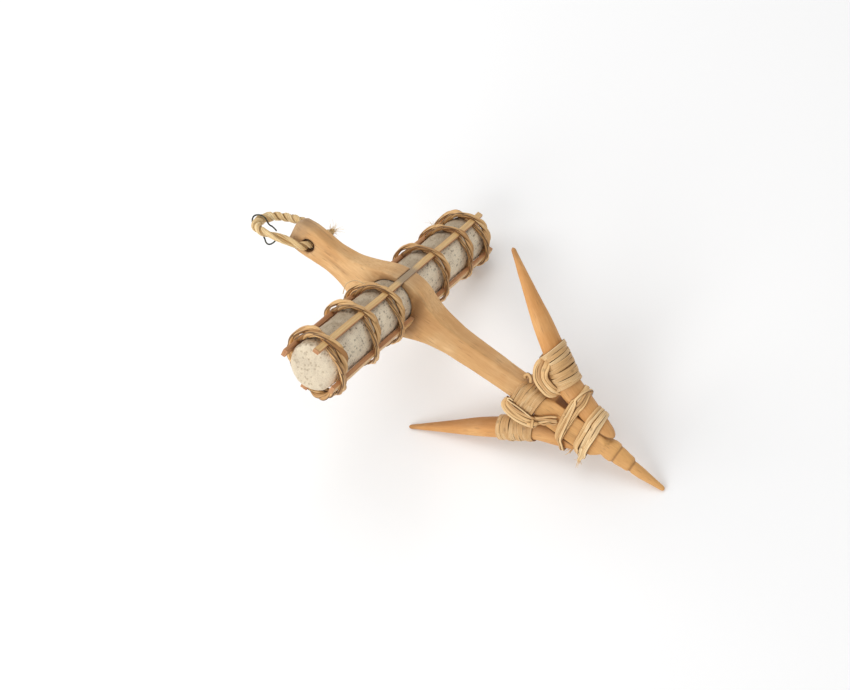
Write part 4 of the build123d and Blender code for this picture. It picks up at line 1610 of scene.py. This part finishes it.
@dataclass
class Becket:
    """The rope loop through the eye, and the wire ring hooked on it."""

    rope_diameter: float = 4.8
    rope_length: float = 100.3
    rope_route: tuple = (
        (-51.8, 9.4, 5.6), (-56.4, 10.2, -1.0), (-57.0, -10.2, -1.6), (-66.6, -9.6, -4.0),
        (-76.0, -9.4, -7.0), (-84.4, -8.8, -10.2), (-90.6, -4.8, -12.2), (-91.6, 2.2, -11.4),
        (-87.4, 7.6, -8.4), (-80.6, 9.2, -4.8), (-72.0, 9.6, -0.8), (-63.8, 9.8, 0.6),
    )
    loop_centre: tuple = (-74.0, 0.0, -5.0)
    wire_diameter: float = 0.9
    wire_length: float = 47.3
    wire_route: tuple = (
        (-78.4, -2.8, -8.0), (-81.6, -1.2, -8.2), (-85.0, -0.2, -9.6), (-88.0, 0.2, -7.4),
        (-91.6, 0.2, -7.2), (-95.2, -0.4, -9.8), (-95.0, -1.0, -13.6), (-91.0, -1.6, -16.2),
        (-86.0, -3.0, -15.0), (-82.6, -4.6, -15.4), (-79.4, -5.2, -18.2), (-76.2, -5.0, -15.4),
        (-75.6, -4.6, -11.4),
    )

    def line(self, name: str, route: tuple, layout: Layout) -> bpy.types.Curve:
        """A smooth curve whose control points are the route's."""
        curve = bpy.data.curves.new(name, "CURVE")
        curve.dimensions, curve.resolution_u = "3D", 16
        spline = curve.splines.new("NURBS")
        spline.points.add(len(route) - 1)
        places = np.concatenate([layout.place(route), np.ones((len(route), 1))], 1)
        spline.points.foreach_set("co", places.ravel())
        spline.order_u = 3
        spline.use_endpoint_u = True
        return curve

    def rope(self, layout: Layout, material: bpy.types.Material) -> None:
        """Makes the rope: two flattened strands laid round its curve, with loose fibres.

        A strand's centre turns about the curve once a pitch. The pitch is long on the leg that
        leaves the eye, where the strands lie nearly side by side, and short elsewhere.
        """
        guide = link("rope_guide", self.line("rope_guide", self.rope_route, layout))
        centre = layout.lift(points_of(bpy.data.meshes.new_from_object(guide)))
        bpy.data.objects.remove(guide)
        path = Path(centre, unit(centre - np.array(self.loop_centre))).evened(0.45)
        rng = np.random.default_rng(5)
        travel = path.distance()
        slow = ease(travel, 24, 30) * (1 - ease(travel, 44, 52))
        pitch = 10.5 + 30 * slow
        phase = np.cumsum(TAU / pitch) * 0.45 + 0.8
        bight = 1 + 0.2 * ease(path.points[:, 0], -84, -90)
        _, out, side = path.frames()
        ends = rounded_end(np.minimum(travel, travel[-1] - travel), 2.0)
        ply = Strip(3.05, 2.4, Profile.ROUND, sides=36, ribs=9, rib_height=0.12)
        thread = Strip(0.5, 0.34, Profile.ROUND, sides=6, ribs=0, rib_height=0.0)
        shells = []
        for start, tone in ((0.0, 0.62), (np.pi, 0.5)):
            turn = phase + start
            spoke = out * np.cos(turn)[:, None] + side * np.sin(turn)[:, None]
            strand = Path(path.points + (1.28 * bight)[:, None] * spoke, spoke)
            size = (0.3 + 0.7 * ends) * (1 + 0.07 * np.sin(travel / 3.1 + start)) * bight
            shells.append(ply.along(strand, 0.0, size, tone, 60 * start))
            for lay in range(7):
                roll = TAU * lay / 7 + travel / rng.uniform(6, 9)
                lane = strand.moved(1.5 * size * np.cos(roll), 1.2 * size * np.sin(roll))
                tone, offset = rng.uniform(0.35, 0.95), rng.uniform(0, 400)
                shells.append(thread.along(lane, 0.0, ends, tone, offset))
        loose = fibres(path.points[:12:3], (0.3, 0.5, 1.0), 44, 6.6, rng, 0.17, 0.6, 0.8)
        loose += fibres(path.points[20:-10:19], (0.0, -0.2, 0.9), 12, 2.4, rng, 0.09, 0.9, 0.8)
        frays = make_mesh("rope_frays", join(loose), layout)
        frays = add_piece(frays, "rope_frays", material, Slot.ROPE, (), "rope_loop")
        mesh = make_mesh("rope_becket", join(shells), layout, crease=70)
        piece = add_piece(mesh, "rope_becket", material, Slot.ROPE, ("rope_loop",), "rope_loop")
        tuple(layout.place(path.points[0]))
        layout.place(path.points).tolist()

    def wire(self, layout: Layout, material: bpy.types.Material) -> None:
        """Makes the wire ring: a round wire along its curve."""
        curve = self.line("wire_hook", self.wire_route, layout)
        curve.bevel_depth = self.wire_diameter * MM / 2
        curve.bevel_resolution = 4
        curve.use_fill_caps = True
        piece = add_piece(curve, "wire_hook", material, Slot.WIRE, ("wire_ring",), "wire_ring")
        tuple(layout.place(self.wire_route[0]))

    def build(self, layout: Layout, rope: bpy.types.Material, wire: bpy.types.Material) -> None:
        """Makes both."""
        self.rope(layout, rope)
        self.wire(layout, wire)


# ---------------------------------------------------------------- the studio


@dataclass
class Studio:
    """A pale floor, soft light from above, and the view.

    A lamp's row is its name, its place in metres, and its size and power. eye_place and eye_axes
    are in the layout, in millimetres, the axes as right, up and back.
    """

    eye_place: tuple = (177.5, -813.1, 568.9)
    eye_axes: tuple = (
        (0.8041, 0.4369, 0.4032), (-0.5759, 0.4041, 0.7106), (0.1475, -0.8036, 0.5766),
    )
    lens: float = 76.2
    sensor: float = 36.0
    floor_half: float = 6.0
    floor_white: float = 0.93
    sky_strength: float = 0.55
    lamps: tuple = (
        ("left_key", (-1.0, -0.45, 0.8), 0.55, 4.6),
        ("overhead", (-0.2, 0.35, 1.15), 0.9, 4.2),
        ("front_fill", (0.1, -1.3, 0.75), 0.9, 9.5),
    )

    def light(self, name: str, place: tuple, size: float, power: float) -> None:
        """A soft square light that faces the anchor."""
        data = bpy.data.lights.new(name, "AREA")
        data.size, data.energy = size, power
        lamp = link(name, data)
        back = unit(np.array(place))
        right = unit(np.cross([0.0, 1.0, 0.1], back))
        lamp.matrix_world = Matrix(self.matrix(right, np.cross(back, right), back, np.array(place)))

    @staticmethod
    def matrix(right: Array, up: Array, back: Array, place: Array) -> list[list[float]]:
        """The 4 by 4 matrix with those columns."""
        columns = [[*right, 0.0], [*up, 0.0], [*back, 0.0], [*place, 1.0]]
        return np.array(columns).T.tolist()

    def build(self, layout: Layout) -> None:
        """Makes the floor, the lights, the sky and the camera."""
        half = self.floor_half
        corners = [(x * half, y * half, 0.0) for x, y in ((-1, -1), (1, -1), (1, 1), (-1, 1))]
        mesh = bpy.data.meshes.new("floor")
        mesh.from_pydata(corners, [], [(0, 1, 2, 3)])
        pale = bpy.data.materials.new("pale_floor")
        pale.use_nodes = True
        shader = pale.node_tree.nodes["Principled BSDF"]
        shader.inputs["Base Color"].default_value = (*[self.floor_white] * 3, 1.0)
        shader.inputs["Roughness"].default_value = 0.9
        mesh.materials.append(pale)
        link("floor", mesh)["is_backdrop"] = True
        for lamp in self.lamps:
            self.light(*lamp)
        world = bpy.context.scene.world or bpy.data.worlds.new("studio")
        bpy.context.scene.world = world
        world.use_nodes = True
        sky = world.node_tree.nodes["Background"]
        sky.inputs["Color"].default_value = (1.0, 1.0, 1.0, 1.0)
        sky.inputs["Strength"].default_value = self.sky_strength
        data = bpy.data.cameras.new("view")
        data.lens, data.sensor_width = self.lens, self.sensor
        camera = link("view", data)
        right, up, back = np.array(self.eye_axes) @ layout.axes
        camera.matrix_world = Matrix(self.matrix(right, up, back, layout.place(self.eye_place)))
        bpy.context.scene.camera = camera
        bpy.context.scene.view_settings.view_transform = "Standard"


def write_sizes() -> None:
    """Works out the CAD box and the box of what is shown, as plain lists; nothing is kept."""
    boxes = {"cad": cad_box, "visual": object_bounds()}
    {name: [list(corner) for corner in box] for name, box in boxes.items()}


def main() -> None:
    """Builds the anchor sub-assembly by sub-assembly."""
    logging.basicConfig(level=logging.INFO)
    layout = Layout.from_frame()
    effects = Effects()
    cane = CaneFinish(
        "lashing_cane", paint(254, 224, 172), paint(238, 196, 136), paint(170, 122, 72),
        paint(58, 38, 22),
    ).make(effects)
    # For the rope, 1.6 is the rib and 0.5 the painted shade at the strip edges.
    bast = CaneFinish(
        "rope_bast", paint(246, 228, 184), paint(234, 206, 152), paint(186, 144, 88),
        paint(112, 78, 42), 1.6, 0.5,
    ).make(effects)
    shank_wood = WoodFinish(
        "shank_wood", paint(232, 192, 138), paint(222, 174, 116), paint(190, 138, 84),
    ).make(effects)
    arm_wood = WoodFinish(
        "arm_wood", paint(230, 178, 116), paint(220, 162, 98), paint(188, 128, 70),
    ).make(effects)
    shank = Shank()
    upper = Arm("upper_arm_spike", "upper_arm", (
        (44.3, 70.4, 1.05), (78.6, 42.7, 5.6), (108.1, 19.8, 7.0), (128.0, 12.6, 5.9),
        (144.8, 6.6, 4.4),
    ), 8.95, 41)
    # The lower arm's last number is the painted shade on its upper side.
    lower = Arm("lower_arm_spike", "lower_arm", (
        (44.6, -67.6, 1.05), (79.0, -38.4, 5.5), (107.0, -15.3, 6.7), (120.0, -11.0, 5.8),
        (132.0, -7.2, 4.2),
    ), -8.25, 42, 0.4)
    shank.build(layout, shank_wood)
    upper.build(layout, arm_wood)
    lower.build(layout, arm_wood)
    Stock().build(layout, StoneFinish().make(effects), SplintFinish().make(effects), cane)
    Bindings(upper, lower, shank).build(layout, cane)
    Becket().build(layout, bast, WireFinish().make(effects))
    Studio().build(layout)
    write_sizes()


if __name__ == "__main__":
    main()
